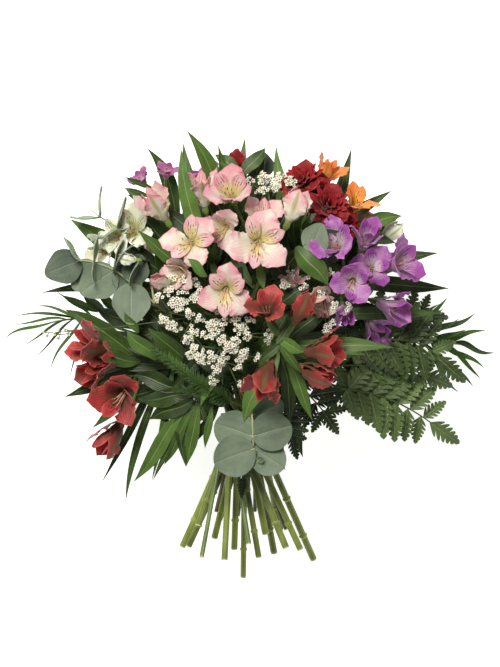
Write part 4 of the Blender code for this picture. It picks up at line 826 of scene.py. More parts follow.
@dataclass(frozen=True)
class FillerFinish:
    """Tiny statice floret: a matt cream rim round a dark eye, on a green calyx."""

    name: str = "statice_floret_cream"
    petal: str = "#fbf6e8"
    shade: str = "#dfd7ba"
    eye: str = "#33291a"
    calyx: str = "#6a7a48"

    def material(self) -> bpy.types.Material:
        """Builds the floret's material on how far a point is from its middle.

        Returns:
            The material.
        """
        graph = MaterialGraph(self.name)
        add = graph.add
        reach, tone = graph.values("reach", "tone")
        coats = ((0.22, 0.34, 1.0, self.shade), (0.36, 0.6, 1.0, self.petal), (1.2, 1.8, 1.0, self.calyx))
        colour = graph.coats(linear(self.eye), *((reach, *coat) for coat in coats))
        bright = add(RANGE, tone, 0.0, 1.0, 0.88, 1.04)
        colour = add(BRIGHTEN, at={"Value": bright, "Color": colour})
        # A papery grain under 1 mm across.
        paper = add(NOISE, add(COORDINATES, out=3), None, 1500.0)
        return graph.finish(colour, paper, 0.2, 0.0002, Roughness=0.7, Subsurface_Weight=0.15, Subsurface_Scale=0.0015)


@dataclass(frozen=True)
class TwineFinish:
    """Jute twine: dull, hairy and laid up from strands that slant across it."""

    name: str = "jute_twine"
    dark: str = "#7a6238"
    light: str = "#c2a468"

    def material(self) -> bpy.types.Material:
        """Builds the twine's material, with its strands about 3 mm apart.

        Returns:
            The material.
        """
        graph = MaterialGraph(self.name)
        add = graph.add
        along, around = graph.values("along", "around")
        lay = add(TIMES, along, 1200.0)
        wave = add(SINE, add(TIMES_PLUS, around, 4 * math.pi, lay))
        colour = graph.coats(linear(self.dark), (wave, -1.0, 1.0, 1.0, self.light))
        return graph.finish(colour, wave, 0.8, 0.0006, Roughness=0.9, Sheen_Weight=0.3)


@dataclass(frozen=True)
class CardFinish:
    """Matt white card that glows of itself, a painted glow, so that hardly a shadow falls on it."""

    name: str = "white_card"
    colour: str = "#fbfbfa"
    glow: float = 0.86

    def material(self) -> bpy.types.Material:
        """Builds the card's material, with a faint tooth 3 mm across.

        Returns:
            The material.
        """
        graph = MaterialGraph(self.name)
        tooth = graph.add(NOISE, graph.add(COORDINATES, out=3), None, 300.0)
        white = linear(self.colour)
        # Painted glow: the card gives off light of its own, which washes out the shadows on it and lights the bunch
        # from below.
        glow = {"Emission_Color": white, "Emission_Strength": self.glow}
        return graph.finish(white, tooth, 0.05, 0.0002, Roughness=0.9, **glow)


# Each row of colours: throat, body, pearly patches, flushed edge, veins, dashes, stripe on the back, ovary.
PETAL_FINISHES = {
    Petals.PINK: PetalFinish(
        "alstroemeria_petal_pink",
        *("#ece09c", "#e8c8c8", "#dfe0d2", "#de7290", "#e494a4", "#6a2a24", "#94a456", "#7a9540"),
        vein_depth=0.3,
    ),
    Petals.PURPLE: PetalFinish(
        "alstroemeria_petal_purple",
        *("#ead8e4", "#9c4ca2", "#c696c8", "#c06cc4", "#5a1e66", "#2a0d34", "#70666c", "#6f7f3c"),
        vein_depth=0.45,
    ),
    Petals.RED: PetalFinish(
        "alstroemeria_petal_red",
        *("#5e3822", "#a61e26", "#6e3c2a", "#e06660", "#4c0810", "#2c0408", "#5e6844", "#4e5424"),
        vein_depth=0.4,
    ),
    Petals.DARK_RED: PetalFinish(
        "chrysanthemum_petal_dark_red",
        *("#54080c", "#96131a", "#7a0c14", "#b0242a", "#5a080d", "#340507", "#5e1616", "#4a5a24"),
    ),
    Petals.ORANGE: PetalFinish(
        "alstroemeria_petal_orange",
        *("#f0b62c", "#ee8f42", "#f2a656", "#e8702e", "#cc5820", "#6e2a10", "#a8843a", "#8a9a40"),
    ),
    Petals.WHITE: PetalFinish(
        "alstroemeria_petal_white",
        *("#e6ebb0", "#eff1da", "#f8f8ee", "#f6f6ea", "#d6dca8", "#6a6a38", "#9cb45a", "#8fa84e"),
    ),
}
MAGENTA_PETALS = PetalFinish(
    "alstroemeria_petal_magenta",
    *("#e0bcd0", "#9a4088", "#b870a4", "#a84e98", "#62205a", "#3a0d34", "#6f7a50", "#6f7f3c"),
)
# Each leaf's colours: dark, light, midrib, underside, tip.
LEAF_GREEN = LeafFinish("alstroemeria_leaf", "#0b1706", "#5b7a36", "#84a060", "#6f875c", "#64702e")
LEAF_PALM = LeafFinish("palm_leaflet", "#1a3312", "#557a33", "#88a460", "#5c7646", "#74743a", 26.0, 0.05)
LEAF_FERN = LeafFinish(
    "leatherleaf_fern", "#182a0e", "#7c955a", "#86a064", "#607c48", "#668840", 14.0, 0.09, 0.42, 0.2, rim=0.2
)
LEAF_EUCALYPTUS = LeafFinish(
    "eucalyptus_leaf", "#4a5a4e", "#87967f", "#a9b59c", "#8c9b88", "#74836a", 11.0, 0.02, 0.6, 0.16, 0.3
)
LEAF_NEEDLE = LeafFinish("plume_asparagus", "#1a3213", "#5a7a40", "#769254", "#42602c", "#7f9c54", 4.0, 0.1, 0.5)
ANTHER = LeafFinish("stamen_anther", "#6a5a48", "#b8a878", "#b8a878", "#8a7a60", "#8a7a60", 4.0)
# Each stem's colours: dark, light, cut end.
STEM_GREEN = StemFinish("alstroemeria_stem", "#3a4a1c", "#9aa84c", "#dcdfb0")
STEM_TWIG = StemFinish("eucalyptus_twig", "#33231c", "#aaaf86", "#d8c9a0", 0.6)
STEM_PALM = StemFinish("palm_stalk", "#3f5424", "#7f9648", "#d8dca8")
STEM_FERN = StemFinish("fern_stalk", "#34331a", "#5e7232", "#b7a070", 0.55)
STEM_FILLER = StemFinish("statice_stalk", "#2a3d1e", "#6f8440", "#cfd4a0", 0.55)
THREAD = StemFinish("stamen_thread", "#e8c890", "#f2b8b0", "#f0e0b0", 0.5)


class Shell:
    """Thin blades and small turned bodies gathered into one closed mesh."""

    def __init__(self) -> None:
        """Starts with nothing in it."""
        self.places: list[np.ndarray] = []
        self.faces: list[tuple] = []
        self.charts: list[np.ndarray] = []
        self.values: dict[str, list[np.ndarray]] = {"tone": [], "layer": [], "back": []}
        self.count = 0

    def gather(self, places: np.ndarray, faces: list, chart: np.ndarray, **values: Any) -> None:
        """Adds one body.

        Args:
            places: Its points.
            faces: Rows of point numbers.
            chart: Each point's place across and along, from 0 to 1.
            values: tone, layer and back of each point.
        """
        self.places.append(places)
        self.faces.extend(tuple(number + self.count for number in face) for face in faces)
        self.charts.append(chart)
        for name, store in self.values.items():
            store.append(np.broadcast_to(values[name], len(places)).astype(float))
        self.count += len(places)

    def blade(self, grid: np.ndarray, thickness: float, tone: float, layer: float = 0.0) -> None:
        """Adds a blade: two faces and a rim round a grid of places, with the front to the grid's own side.

        Args:
            grid: Rows along and columns across.
            thickness: From front to back.
            tone: Lightness from 0 to 1.
            layer: 0 for an outer tepal, 1 for an inner one.
        """
        rows, columns = grid.shape[:2]
        total = rows * columns
        normals = unit_rows(np.cross(np.gradient(grid, axis=1), np.gradient(grid, axis=0))) * thickness / 2
        places = np.vstack([(grid + normals).reshape(-1, 3), (grid - normals).reshape(-1, 3)])
        numbers = np.arange(total).reshape(rows, columns)
        quads = np.stack([numbers[:-1, :-1], numbers[:-1, 1:], numbers[1:, 1:], numbers[1:, :-1]], -1).reshape(-1, 4)
        loop = np.concatenate([numbers[0, :-1], numbers[:-1, -1], numbers[-1, :0:-1], numbers[:0:-1, 0]])
        after = np.roll(loop, -1)
        rim = np.stack([after, loop, loop + total, after + total], -1)
        faces = quads.tolist() + (quads[:, ::-1] + total).tolist() + rim.tolist()
        across, along = np.meshgrid(np.linspace(0, 1, columns), np.linspace(0, 1, rows))
        chart = np.tile(np.stack([across, along], -1).reshape(-1, 2), (2, 1))
        self.gather(places, faces, chart, tone=tone, layer=layer, back=np.repeat([0.0, 1.0], total))

    def grow(self, form: BladeForm, *shape: Any, tone: float, layer: float = 0.0) -> None:
        """Adds a blade of a form, with shape as its grid takes it."""
        self.blade(form.grid(*shape), form.thickness, tone, layer)

    def turned(self, base: np.ndarray, axes: tuple, outline: tuple, size: float, ribs: int, sides: int = 18) -> None:
        """Adds a ribbed turned body closed at both ends.

        Args:
            base: Its foot.
            axes: Its axis and two axes square to it.
            outline: Rows of height and radius.
            size: Factor for both.
            ribs: Number of ribs round it.
            sides: Number of points round it.
        """
        ahead, first, second = axes
        angles = np.arange(sides) * 2 * math.pi / sides
        ring = np.cos(angles)[:, None] * first + np.sin(angles)[:, None] * second
        ring *= (1 + RIB_HEIGHT * np.cos(angles * ribs))[:, None]
        rings = [base + (ahead * height + ring * radius) * size for height, radius in outline]
        ends = [(base + ahead * outline[end][0] * size)[None] for end in (0, -1)]
        rows = len(outline)
        numbers = np.arange(rows * sides).reshape(rows, sides)
        after = np.roll(numbers, -1, axis=1)
        walls = np.stack([numbers[:-1], after[:-1], after[1:], numbers[1:]], -1).reshape(-1, 4).tolist()
        low, high = rows * sides, rows * sides + 1
        caps = [(low, two, one) for one, two in zip(numbers[0], after[0])]
        caps += [(high, one, two) for one, two in zip(numbers[-1], after[-1])]
        chart = np.stack([np.tile(np.linspace(0, 1, sides), rows), np.repeat(np.linspace(0, 1, rows), sides)], -1)
        chart = np.vstack([chart, [[0.5, 0.0], [0.5, 1.0]]])
        self.gather(np.vstack(rings + ends), walls + caps, chart, tone=0.5, layer=2.0, back=1.0)

    def mesh(self, workshop: Workshop | None, name: str, finish: Any = None) -> bpy.types.Mesh:
        """Makes the mesh.

        Args:
            workshop: Where the finishes are.
            name: Its name.
            finish: Its finish, or None for a shape that is only copied.

        Returns:
            The mesh in metres, with its chart and values.
        """
        mesh = bpy.data.meshes.new(name)
        mesh.from_pydata((np.vstack(self.places) * MM).tolist(), [], self.faces)
        if finish:
            mesh.materials.append(workshop.material(finish))
        corners = np.empty(len(mesh.loops), int)
        mesh.loops.foreach_get("vertex_index", corners)
        mesh.uv_layers.new(name=UV_NAME).data.foreach_set("uv", np.vstack(self.charts)[corners].ravel())
        for value_name, store in self.values.items():
            store_values(mesh, value_name, np.concatenate(store))
        return mesh


@dataclass(frozen=True)
class BladeForm:
    """The outline and relief that blades of one sort share.

    fold lifts the edges in a V and cup in a bowl that turns back at the tip. ruffle is the height of the edge's waves
    on a blade of full_width or more, and sway the sideways swing as a share of the width. teeth is the number of lobes
    that are cut to a depth, roundness a power that fills them out, and lean how far they point towards the tip.
    crowding is a power that sets the rows closer at the tip of a blade without teeth.
    """

    profile: tuple
    rows: int
    columns: int
    fold: float
    thickness: float
    ruffle: float = 0.0
    waves: float = 3.0
    cup: float = 0.0
    sway: float = 0.0
    teeth: int = 0
    depth: float = 0.6
    roundness: float = 0.45
    lean: float = 0.8
    crowding: float = 1.25
    full_width: float = 28.0

    def grid(
        self,
        start: Any,
        middle: Any,
        tip: Any,
        facing: Any,
        width: float,
        twist: float = 0.0,
        phase: float = 0.0,
        side: np.ndarray | None = None,
    ) -> np.ndarray:
        """The places of one blade.

        Args:
            start: Its root.
            middle: Where its curve leans to.
            tip: Its tip.
            facing: The way its front looks.
            width: Its greatest width.
            twist: Its turn from root to tip, in radians.
            phase: Where its edge's waves start.
            side: The way across it, where that is fixed.

        Returns:
            Rows along and columns across.
        """
        shares = np.linspace(0, 1, self.rows + 1)
        half = 1.0
        if self.teeth:
            lobe = np.sin(math.pi * (shares * self.teeth % 1.0)) ** self.roundness
            half = 1 - self.depth * (1 - 0.5 * shares) * (1 - lobe)
        else:
            shares = 1 - (1 - shares) ** self.crowding
        half = half * width / 2 * smooth_table(self.profile, shares)
        reach = np.linspace(-1, 1, self.columns + 1)
        spine = bow(start, middle, tip, shares)
        ways = bow_ways(start, middle, tip, shares)
        sides = unit_rows(np.cross(ways, facing)) if side is None else np.tile(side, (len(shares), 1))
        ups = np.cross(sides, ways)
        turn = (twist * shares)[:, None]
        sides, ups = sides * np.cos(turn) + ups * np.sin(turn), ups * np.cos(turn) - sides * np.sin(turn)
        spine = spine + sides * (self.sway * width * np.sin(shares * 2 * math.pi) * math.cos(phase))[:, None]
        # Long waves with shorter ones on them, which rise at one edge as they fall at the other.
        waves = np.sin(shares * self.waves * 2 * math.pi + phase)
        waves = waves + 0.6 * np.sin(shares * self.waves * 5.2 * math.pi + phase * 1.7)
        ripple = waves * self.ruffle * min(width / self.full_width, 1.0) * half / half.max()
        ripple = ripple[:, None] * np.abs(reach) ** 3 * np.where(reach > 0, 1.0, -0.7)
        bowl = self.cup * (1 - 1.8 * shares**2)[:, None] * reach**2 + 2 * self.fold * np.abs(reach)
        across = half[:, None] * reach * (1 + 0.03 * self.ruffle * np.roll(waves, 2)[:, None] * np.sign(reach))
        ahead = self.lean * ((1 - shares) * half)[:, None] * np.abs(reach) * bool(self.teeth)
        lift = half[:, None] * bowl + ripple
        places = spine[:, None] + sides[:, None] * across[..., None] + ways[:, None] * ahead[..., None]
        return places + ups[:, None] * lift[..., None]


OUTER_TEPAL = BladeForm(
    (
        (0, 0.25), (0.12, 0.3), (0.28, 0.52), (0.45, 0.83), (0.6, 1.0), (0.72, 0.98),
        (0.82, 0.8), (0.9, 0.5), (0.95, 0.24), (0.98, 0.1), (1, 0.03),
    ),
    24, 14, 0.03, 0.5, 2.2, 2.9, 0.2,
)  # fmt: skip
INNER_TEPAL = BladeForm(
    ((0, 0.3), (0.2, 0.42), (0.42, 0.76), (0.62, 1.0), (0.78, 0.95), (0.9, 0.62), (0.96, 0.3), (1, 0.03)),
    20, 8, 0.06, 0.5, 0.8, 2.3, 0.2,
)  # fmt: skip
NARROW_PETAL = BladeForm(((0, 0.4), (0.3, 0.7), (0.7, 1.0), (0.9, 0.7), (1, 0.1)), 8, 4, 0.14, 0.4, 0.3, 1.5)
LANCE_LEAF = BladeForm(
    ((0, 0.18), (0.12, 0.5), (0.28, 0.8), (0.48, 1.0), (0.64, 0.92), (0.8, 0.6), (0.92, 0.24), (1, 0.02)),
    20, 6, 0.13, 0.45, 0.7, 1.9, 0.0, 0.1,
)  # fmt: skip
FROND_LEAFLET = BladeForm(((0, 0.3), (0.2, 0.75), (0.45, 1.0), (0.75, 0.6), (1, 0.03)), 16, 4, 0.1, 0.4, sway=0.5)
BRACT = BladeForm(((0, 0.3), (0.35, 1.0), (0.7, 0.7), (1, 0.04)), 10, 4, 0.16, 0.4, 0.3)
FERN_PINNA = BladeForm(
    ((0, 0.7), (0.12, 1.0), (0.35, 0.94), (0.6, 0.74), (0.8, 0.48), (0.93, 0.24), (1, 0.05)),
    30, 2, 0.16, 0.016, teeth=6, depth=0.85,
)  # fmt: skip
NEEDLE = BladeForm(((0, 0.6), (0.5, 1.0), (1, 0.1)), 3, 1, 0.0, 0.35)
ANTHER_FORM = BladeForm(((0, 0.4), (0.3, 1.0), (0.7, 1.0), (1, 0.4)), 4, 2, 0.0, 0.5)


def finish_piece(mesh: bpy.types.Mesh, slot: str, *nodes: str) -> None:
    """Puts a finished mesh on the frame.

    Args:
        mesh: The mesh, named and in place.
        slot: Not used.
        nodes: The solids that it stands for.
    """
    piece = bpy.data.objects.new(mesh.name, mesh)
    bpy.context.scene.collection.objects.link(piece)
    mesh.polygons.foreach_set("use_smooth", [True] * len(mesh.polygons))
    mesh.set_sharp_from_angle(angle=SHARP_ANGLE)
    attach(piece, BODY)
    if nodes:
        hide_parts(*nodes)
    LOG.info("%s: %d faces", piece.name, len(mesh.polygons))


class Workshop:
    """The two geometry trees and the finishes, each made once."""

    def __init__(self) -> None:
        """Builds the trees."""
        self.finishes: dict[str, bpy.types.Material] = {}
        self.strand_tree = self.grow_strands()
        self.copy_tree = self.set_copies()

    def material(self, finish: Any) -> bpy.types.Material:
        """Gives the material of a finish, which is made once.

        Args:
            finish: The finish.

        Returns:
            The material.
        """
        if finish.name not in self.finishes:
            self.finishes[finish.name] = finish.material()
        return self.finishes[finish.name]

    @staticmethod
    def start_tree(name: str, **inputs: str) -> tuple[Graph, Any]:
        """Starts a geometry tree.

        Args:
            name: Its name.
            inputs: The socket type of each named input.

        Returns:
            The tree as a graph, and its input sockets.
        """
        tree = bpy.data.node_groups.new(name, "GeometryNodeTree")
        for input_name, kind in inputs.items():
            tree.interface.new_socket(input_name, in_out="INPUT", socket_type="NodeSocket" + kind)
        tree.interface.new_socket("Made", in_out="OUTPUT", socket_type="NodeSocketGeometry")
        graph = Graph(tree)
        return graph, graph.add("NodeGroupInput").node.outputs

    @staticmethod
    def end_tree(graph: Graph, made: Any, finish: Any) -> Any:
        """Ends a geometry tree in real geometry with its finish.

        Args:
            graph: The tree as a graph.
            made: Socket of what it made.
            finish: Socket of the finish.

        Returns:
            The tree.
        """
        real = graph.add("GeometryNodeRealizeInstances", made)
        graph.add("NodeGroupOutput", graph.add("GeometryNodeSetMaterial", real, at={"Material": finish}))
        return graph.tree

    def grow_strands(self) -> Any:
        """Builds the tree of round stems: it smooths each path, steps along it and sweeps a ring of its thickness.

        Returns:
            The tree.
        """
        graph, inputs = self.start_tree(
            "round_strands", Paths="Geometry", Step="Float", Sides="Int", Finish="Material"
        )
        add = graph.add
        curve = add("GeometryNodeMeshToCurve", inputs[0])
        curve = add("GeometryNodeCurveSplineType", curve, spline_type="CATMULL_ROM")
        curve = add("GeometryNodeResampleCurve", mode="LENGTH", at={"Curve": curve, "Length": inputs[1]})
        thick = add("GeometryNodeInputNamedAttribute", "thick", data_type="FLOAT")
        ring = add("GeometryNodeCurvePrimitiveCircle", at={"Resolution": inputs[2], "Radius": 1.0})
        girth = add("GeometryNodeSplineParameter")
        ring = add("GeometryNodeStoreNamedAttribute", ring, at={"Name": "around", "Value": girth})
        links = {"Curve": curve, "Profile Curve": ring, "Scale": thick, "Fill Caps": True}
        return self.end_tree(graph, add("GeometryNodeCurveToMesh", at=links), inputs[3])

    def set_copies(self) -> Any:
        """Builds the tree that sets copies of one small shape at places, each with its own turn and size.

        Returns:
            The tree.
        """
        graph, inputs = self.start_tree("placed_copies", Places="Geometry", Copy="Object", Finish="Material")
        add = graph.add
        points = add("GeometryNodeMeshToPoints", inputs[0])
        shape = add("GeometryNodeObjectInfo", inputs[1], out=4)
        turn = add("GeometryNodeInputNamedAttribute", "turn", data_type="QUATERNION")
        grow = add("GeometryNodeInputNamedAttribute", "grow", data_type="FLOAT_VECTOR")
        links = {"Points": points, "Instance": shape, "Rotation": turn, "Scale": grow}
        return self.end_tree(graph, add("GeometryNodeInstanceOnPoints", at=links), inputs[2])

    @staticmethod
    def run(tree: Any, base: bpy.types.Mesh, name: str, **inputs: Any) -> bpy.types.Mesh:
        """Runs a geometry tree on a mesh and gives the plain mesh that it makes.

        Args:
            tree: The tree.
            base: What it works on.
            name: The new mesh's name.
            inputs: Values by input name.

        Returns:
            The result.
        """
        holder = bpy.data.objects.new(name + "_base", base)
        bpy.context.scene.collection.objects.link(holder)
        step = holder.modifiers.new("Grow", "NODES")
        step.node_group = tree
        for item in tree.interface.items_tree:
            if item.name in inputs:
                step[item.identifier] = inputs[item.name]
        made = bpy.data.meshes.new_from_object(holder.evaluated_get(bpy.context.evaluated_depsgraph_get()))
        bpy.data.objects.remove(holder)
        bpy.data.meshes.remove(base)
        made.name = name
        return made


@dataclass
class Strands:
    """Paths of round stems, twigs, ribs and filaments, gathered for one mesh."""

    sides: int = 8
    step: float = 4.0
    places: list = field(default_factory=list)
    edges: list = field(default_factory=list)
    thick: list = field(default_factory=list)
    along: list = field(default_factory=list)
    tone: list = field(default_factory=list)
    # Shares of the way from a cut end to the tie; steps along the stem at a joint, with a factor on its girth.
    lower_shares: tuple = (0.0, 0.25, 0.5, 0.75)
    joint_steps: tuple = (-3.0, -0.8, 0.8, 3.0)
    joint_girths: tuple = (0.85, 1.3, 1.3, 0.85)
    least_jointed: float = 2.2

    def add(self, path: Any, radii: Any, tone: float = 0.5, along: Pair = (0.1, 0.1)) -> None:
        """Adds a path.

        Args:
            path: Its places in order.
            radii: The radius at its start and end, or at each place.
            tone: Lightness from 0 to 1.
            along: The share of the whole stem that it starts and ends at.
        """
        path = np.asarray(path, float) * MM
        count = len(path)
        first = len(self.places)
        radii = np.asarray(radii, float) * MM
        self.places.extend(path.tolist())
        self.edges.extend((first + step, first + step + 1) for step in range(count - 1))
        self.thick.extend(radii if len(radii) == count else np.linspace(radii[0], radii[-1], count))
        self.along.extend(np.linspace(*along, count))
        self.tone.extend([tone] * count)

    def add_stem(self, name: str, tone: float) -> None:
        """Adds a stem, with its joints where it is a thick one.

        Args:
            name: The stem's name.
            tone: Lightness from 0 to 1.
        """
        radius = STEMS[name][0]
        path = stem_path(name)
        span = path[1] - path[0]
        lower = [path[0] + span * share for share in self.lower_shares]
        radii = radius * np.array([1.04] + [1.0] * 7 + [0.85, 0.6])
        self.add(np.vstack([lower, path[1:]]), radii, tone, (0.0, 1.0))
        if radius < self.least_jointed:
            return
        length = np.linalg.norm(span)
        for spot in np.arange(22.0 + 9 * tone, length - 12, 34 + 14 * tone):
            joint = [path[0] + span / length * (spot + step) for step in self.joint_steps]
            self.add(joint, radius * np.array(self.joint_girths), tone + 0.3)

    def mesh(self, workshop: Workshop, name: str, finish: StemFinish | TwineFinish) -> bpy.types.Mesh:
        """Grows the strands.

        Args:
            workshop: Where the tree and the finishes are.
            name: The mesh's name.
            finish: Their finish.

        Returns:
            One mesh.
        """
        base = bpy.data.meshes.new(name + "_paths")
        base.from_pydata(self.places, self.edges, [])
        for value_name in ("thick", "along", "tone"):
            store_values(base, value_name, getattr(self, value_name))
        inputs = {"Step": self.step * MM, "Sides": self.sides, "Finish": workshop.material(finish)}
        return workshop.run(workshop.strand_tree, base, name, **inputs)


@dataclass
class Copies:
    """Places where one small shape repeats: it grows along its own Y and looks along its own Z."""

    places: list = field(default_factory=list)
    turns: list = field(default_factory=list)
    grows: list = field(default_factory=list)
    tones: list = field(default_factory=list)

    def add(self, place: Any, growth: Any, facing: Any, size: tuple[float, float, float], tone: float) -> None:
        """Adds a copy.

        Args:
            place: Where it sits.
            growth: The way that it grows.
            facing: The way that it looks, as near as it can.
            size: Its width, length and height factors.
            tone: Lightness from 0 to 1.
        """
        along = unit(growth)
        side = unit(np.cross(along, facing))
        turn = Matrix((side, along, np.cross(side, along))).transposed().to_quaternion()
        self.places.append(np.asarray(place, float) * MM)
        self.turns.append(tuple(turn))
        self.grows.append(size)
        self.tones.append(tone)

    def mesh(self, workshop: Workshop, name: str, shape: bpy.types.Mesh, finish: Any) -> bpy.types.Mesh:
        """Sets the copies.

        Args:
            workshop: Where the tree and the finishes are.
            name: The mesh's name.
            shape: The mesh that repeats, in metres.
            finish: Their finish.

        Returns:
            One mesh.
        """
        base = bpy.data.meshes.new(name + "_places")
        base.from_pydata(self.places, [], [])
        store_values(base, "turn", self.turns, "QUATERNION")
        store_values(base, "grow", self.grows, "FLOAT_VECTOR")
        store_values(base, "tone", self.tones)
        copy = bpy.data.objects.new(name + "_copy", shape)
        bpy.context.scene.collection.objects.link(copy)
        made = workshop.run(workshop.copy_tree, base, name, Copy=copy, Finish=workshop.material(finish))
        bpy.data.objects.remove(copy)
        for spare in ("turn", "grow"):
            if spare in made.attributes:
                made.attributes.remove(made.attributes[spare])
        return made


def blade_copy(form: BladeForm, width: float) -> bpy.types.Mesh:
    """A blade one millimetre long, to be copied.

    Args:
        form: Its outline.
        width: Its width as a share of its length.

    Returns:
        The mesh, which grows along Y and looks along Z.
    """
    shell = Shell()
    shell.grow(form, (0, 0, 0), (0, 0.5, 0.12), (0, 1, 0), UP, width, tone=0.5)
    mesh = shell.mesh(None, "blade_copy")
    mesh.attributes.remove(mesh.attributes["tone"])
    return mesh


def floret_copy(rim: int = 20) -> bpy.types.Mesh:
    """A tiny five-lobed floret one millimetre in radius, closed below by its calyx.

    Args:
        rim: Number of points round it.

    Returns:
        The mesh, which looks along Z.
    """
    angles = np.arange(rim) * 2 * math.pi / rim
    ring = np.stack([np.cos(angles), np.sin(angles)], -1)
    places, reach = [[0.0, 0.0, -0.12]], [0.0]
    # The rings round the eye and round the lobes: their reach, and the radii and lifts that repeat along them.
    rings = ((0.42, (0.42,), (0.02,)), (1.0, (1.0, 0.92, 0.5, 0.92), (0.1, 0.24, 0.02, 0.24)))
    for far, radii, lifts in rings:
        turns = rim // len(radii)
        places += np.column_stack([ring * np.tile(radii, turns)[:, None], np.tile(lifts, turns)]).tolist()
        reach += [far] * rim
    places.append([0.0, 0.0, -1.1])
    reach.append(2.0)
    faces: list = []
    for number in range(rim):
        one, two = 1 + number, 1 + (number + 1) % rim
        faces += [(0, one, two), (one, one + rim, two + rim, two), (two + rim, one + rim, 1 + 2 * rim)]
    mesh = bpy.data.meshes.new("floret_copy")
    mesh.from_pydata((np.array(places) * MM).tolist(), [], faces)
    store_values(mesh, "reach", reach)
    return mesh


@dataclass
class Growth:
    """What each part of the plants grows with: trees and finishes, a source of small differences and a shell."""

    workshop: Workshop
    draw: np.random.Generator
    shell: Shell = field(default_factory=Shell, init=False)

    def vary(self, low: float, high: float) -> float:
        """Draws a number between two."""
        return self.draw.uniform(low, high)

    def show(self, made: Shell | Strands, name: str, finish: Any, slot: str, *nodes: str) -> None:
        """Makes a piece of blades or strands, with its finish, for the nodes that it stands for."""
        finish_piece(made.mesh(self.workshop, name, finish), slot, *nodes)


@dataclass
class Bloom(Growth):
    """One floret: a ribbed ovary, three broad outer tepals and three narrower inner ones."""

    name: str
    petals: Petals
    kind: FloretKind
    stem: str
    place: np.ndarray
    facing: np.ndarray
    roll: float
    size: float
    outer_width: float = 25.5
    inner_width: float = 14.5
    cup_length: float = 9.0
    cup_radius: float = 3.3
    paleness: float = 0.55
    # Distance along the floret and radius of each ring of the ovary.
    ovary: tuple = ((-0.6, 1.2), (0.8, 2.1), (2.6, 2.8), (4.6, 2.7), (6.2, 2.5), (8.6, 3.1), (10.8, 3.9))
    # Outer and inner tepals by turns. The two upper inner ones lean together over the upper outer one.
    turns: tuple = (0, 44, 120, 180, 240, 316)
    # Count, reach and height of each ring of narrow petals.
    narrow_rings: tuple = ((13, 27, 27), (12, 21, 32), (9, 13, 35), (6, 6, 36))
    narrow_width: float = 6.2
    # Turn of each ring against the one outside it, in steps between petals.
    narrow_shift: float = 0.37
    ribs: int = 6

    @property
    def base(self) -> np.ndarray:
        """The foot of the floret, where its pedicel ends."""
        return self.place - self.facing * self.kind.value[2] * self.size

    @property
    def axes(self) -> tuple[np.ndarray, np.ndarray, np.ndarray]:
        """Reads how the floret stands.

        Returns:
            The way ahead and two axes square to it, turned by the roll.
        """
        start = UP if abs(self.facing[1]) >= 0.8 else np.array([0.0, 1.0, 0.0])
        side = unit(np.cross(start, self.facing))
        over = np.cross(self.facing, side)
        angle = math.radians(self.roll)
        first = math.cos(angle) * over + math.sin(angle) * side
        return self.facing, first, np.cross(self.facing, first)

    def outs(self, angle: float) -> np.ndarray:
        """The way out from the floret's axis at an angle about it."""
        _, first, second = self.axes
        return math.cos(angle) * first + math.sin(angle) * second

    def tepal(self, degrees: float, inner: int) -> None:
        """Adds one tepal.

        Args:
            degrees: Its turn about the floret.
            inner: 1 for an inner one, 0 for an outer one.
        """
        ahead = self.facing
        out = self.outs(math.radians(degrees + self.vary(-5, 5)))
        side = np.cross(out, ahead)
        middle, tip = self.kind.value[inner]
        form = INNER_TEPAL if inner else OUTER_TEPAL
        width = (self.outer_width, self.inner_width)[inner] * self.kind.value[3][inner] * self.vary(0.9, 1.08)
        start = out * self.cup_radius + ahead * self.cup_length
        bend = out * middle[0] + ahead * (middle[1] + self.vary(-1, 1.5)) + side * self.vary(-1.5, 1.5)
        end = out * (tip[0] + self.vary(-1, 1)) + ahead * (tip[1] + self.vary(-1.5, 1.5))
        end = end + side * self.vary(-3, 3)
        start, bend, end = (self.base + spot * self.size for spot in (start, bend, end))
        twist = self.vary(-0.4, 0.4)
        shape = start, bend, end, ahead, width * self.size, twist, self.vary(0, 6), side
        tone = min(max(PALENESS.get(self.name, self.paleness) + self.vary(-0.3, 0.3), 0.0), 1.0)
        self.shell.grow(form, *shape, tone=tone, layer=float(inner))

    def narrow_petals(self) -> None:
        """Adds the rows of narrow petals of a full bloom."""
        for ring, (count, reach, height) in enumerate(self.narrow_rings):
            for number in range(count):
                out = self.outs(2 * math.pi * (number + ring * self.narrow_shift) / count + self.vary(-0.1, 0.1))
                far, high = reach * self.vary(0.9, 1.06), height * self.vary(0.92, 1.04)
                spots = ((2.0, 12), (far * 0.45, high * 0.9), (far, high))
                places = [self.base + (out * wide + self.facing * long) * self.size for wide, long in spots]
                twist, side = self.vary(-0.3, 0.3), np.cross(out, self.facing)
                shape = *places, self.facing, self.narrow_width * self.size, twist, 0.0, side
                self.shell.grow(NARROW_PETAL, *shape, tone=self.vary(0.1, 1.0))

    def build(self) -> None:
        """Makes the floret."""
        self.shell.turned(self.base, self.axes, self.ovary, self.size, self.ribs)
        for number, degrees in enumerate(self.turns):
            self.tepal(degrees, number % 2)
        if self.petals is Petals.DARK_RED and self.kind is not BUD:
            self.narrow_petals()
        finish = MAGENTA_PETALS if self.name.startswith("magenta") else PETAL_FINISHES[self.petals]
        nodes = [self.name] if "bloom" in self.name else []
        self.show(self.shell, self.name + "_petals", finish, self.petals.value, *nodes)


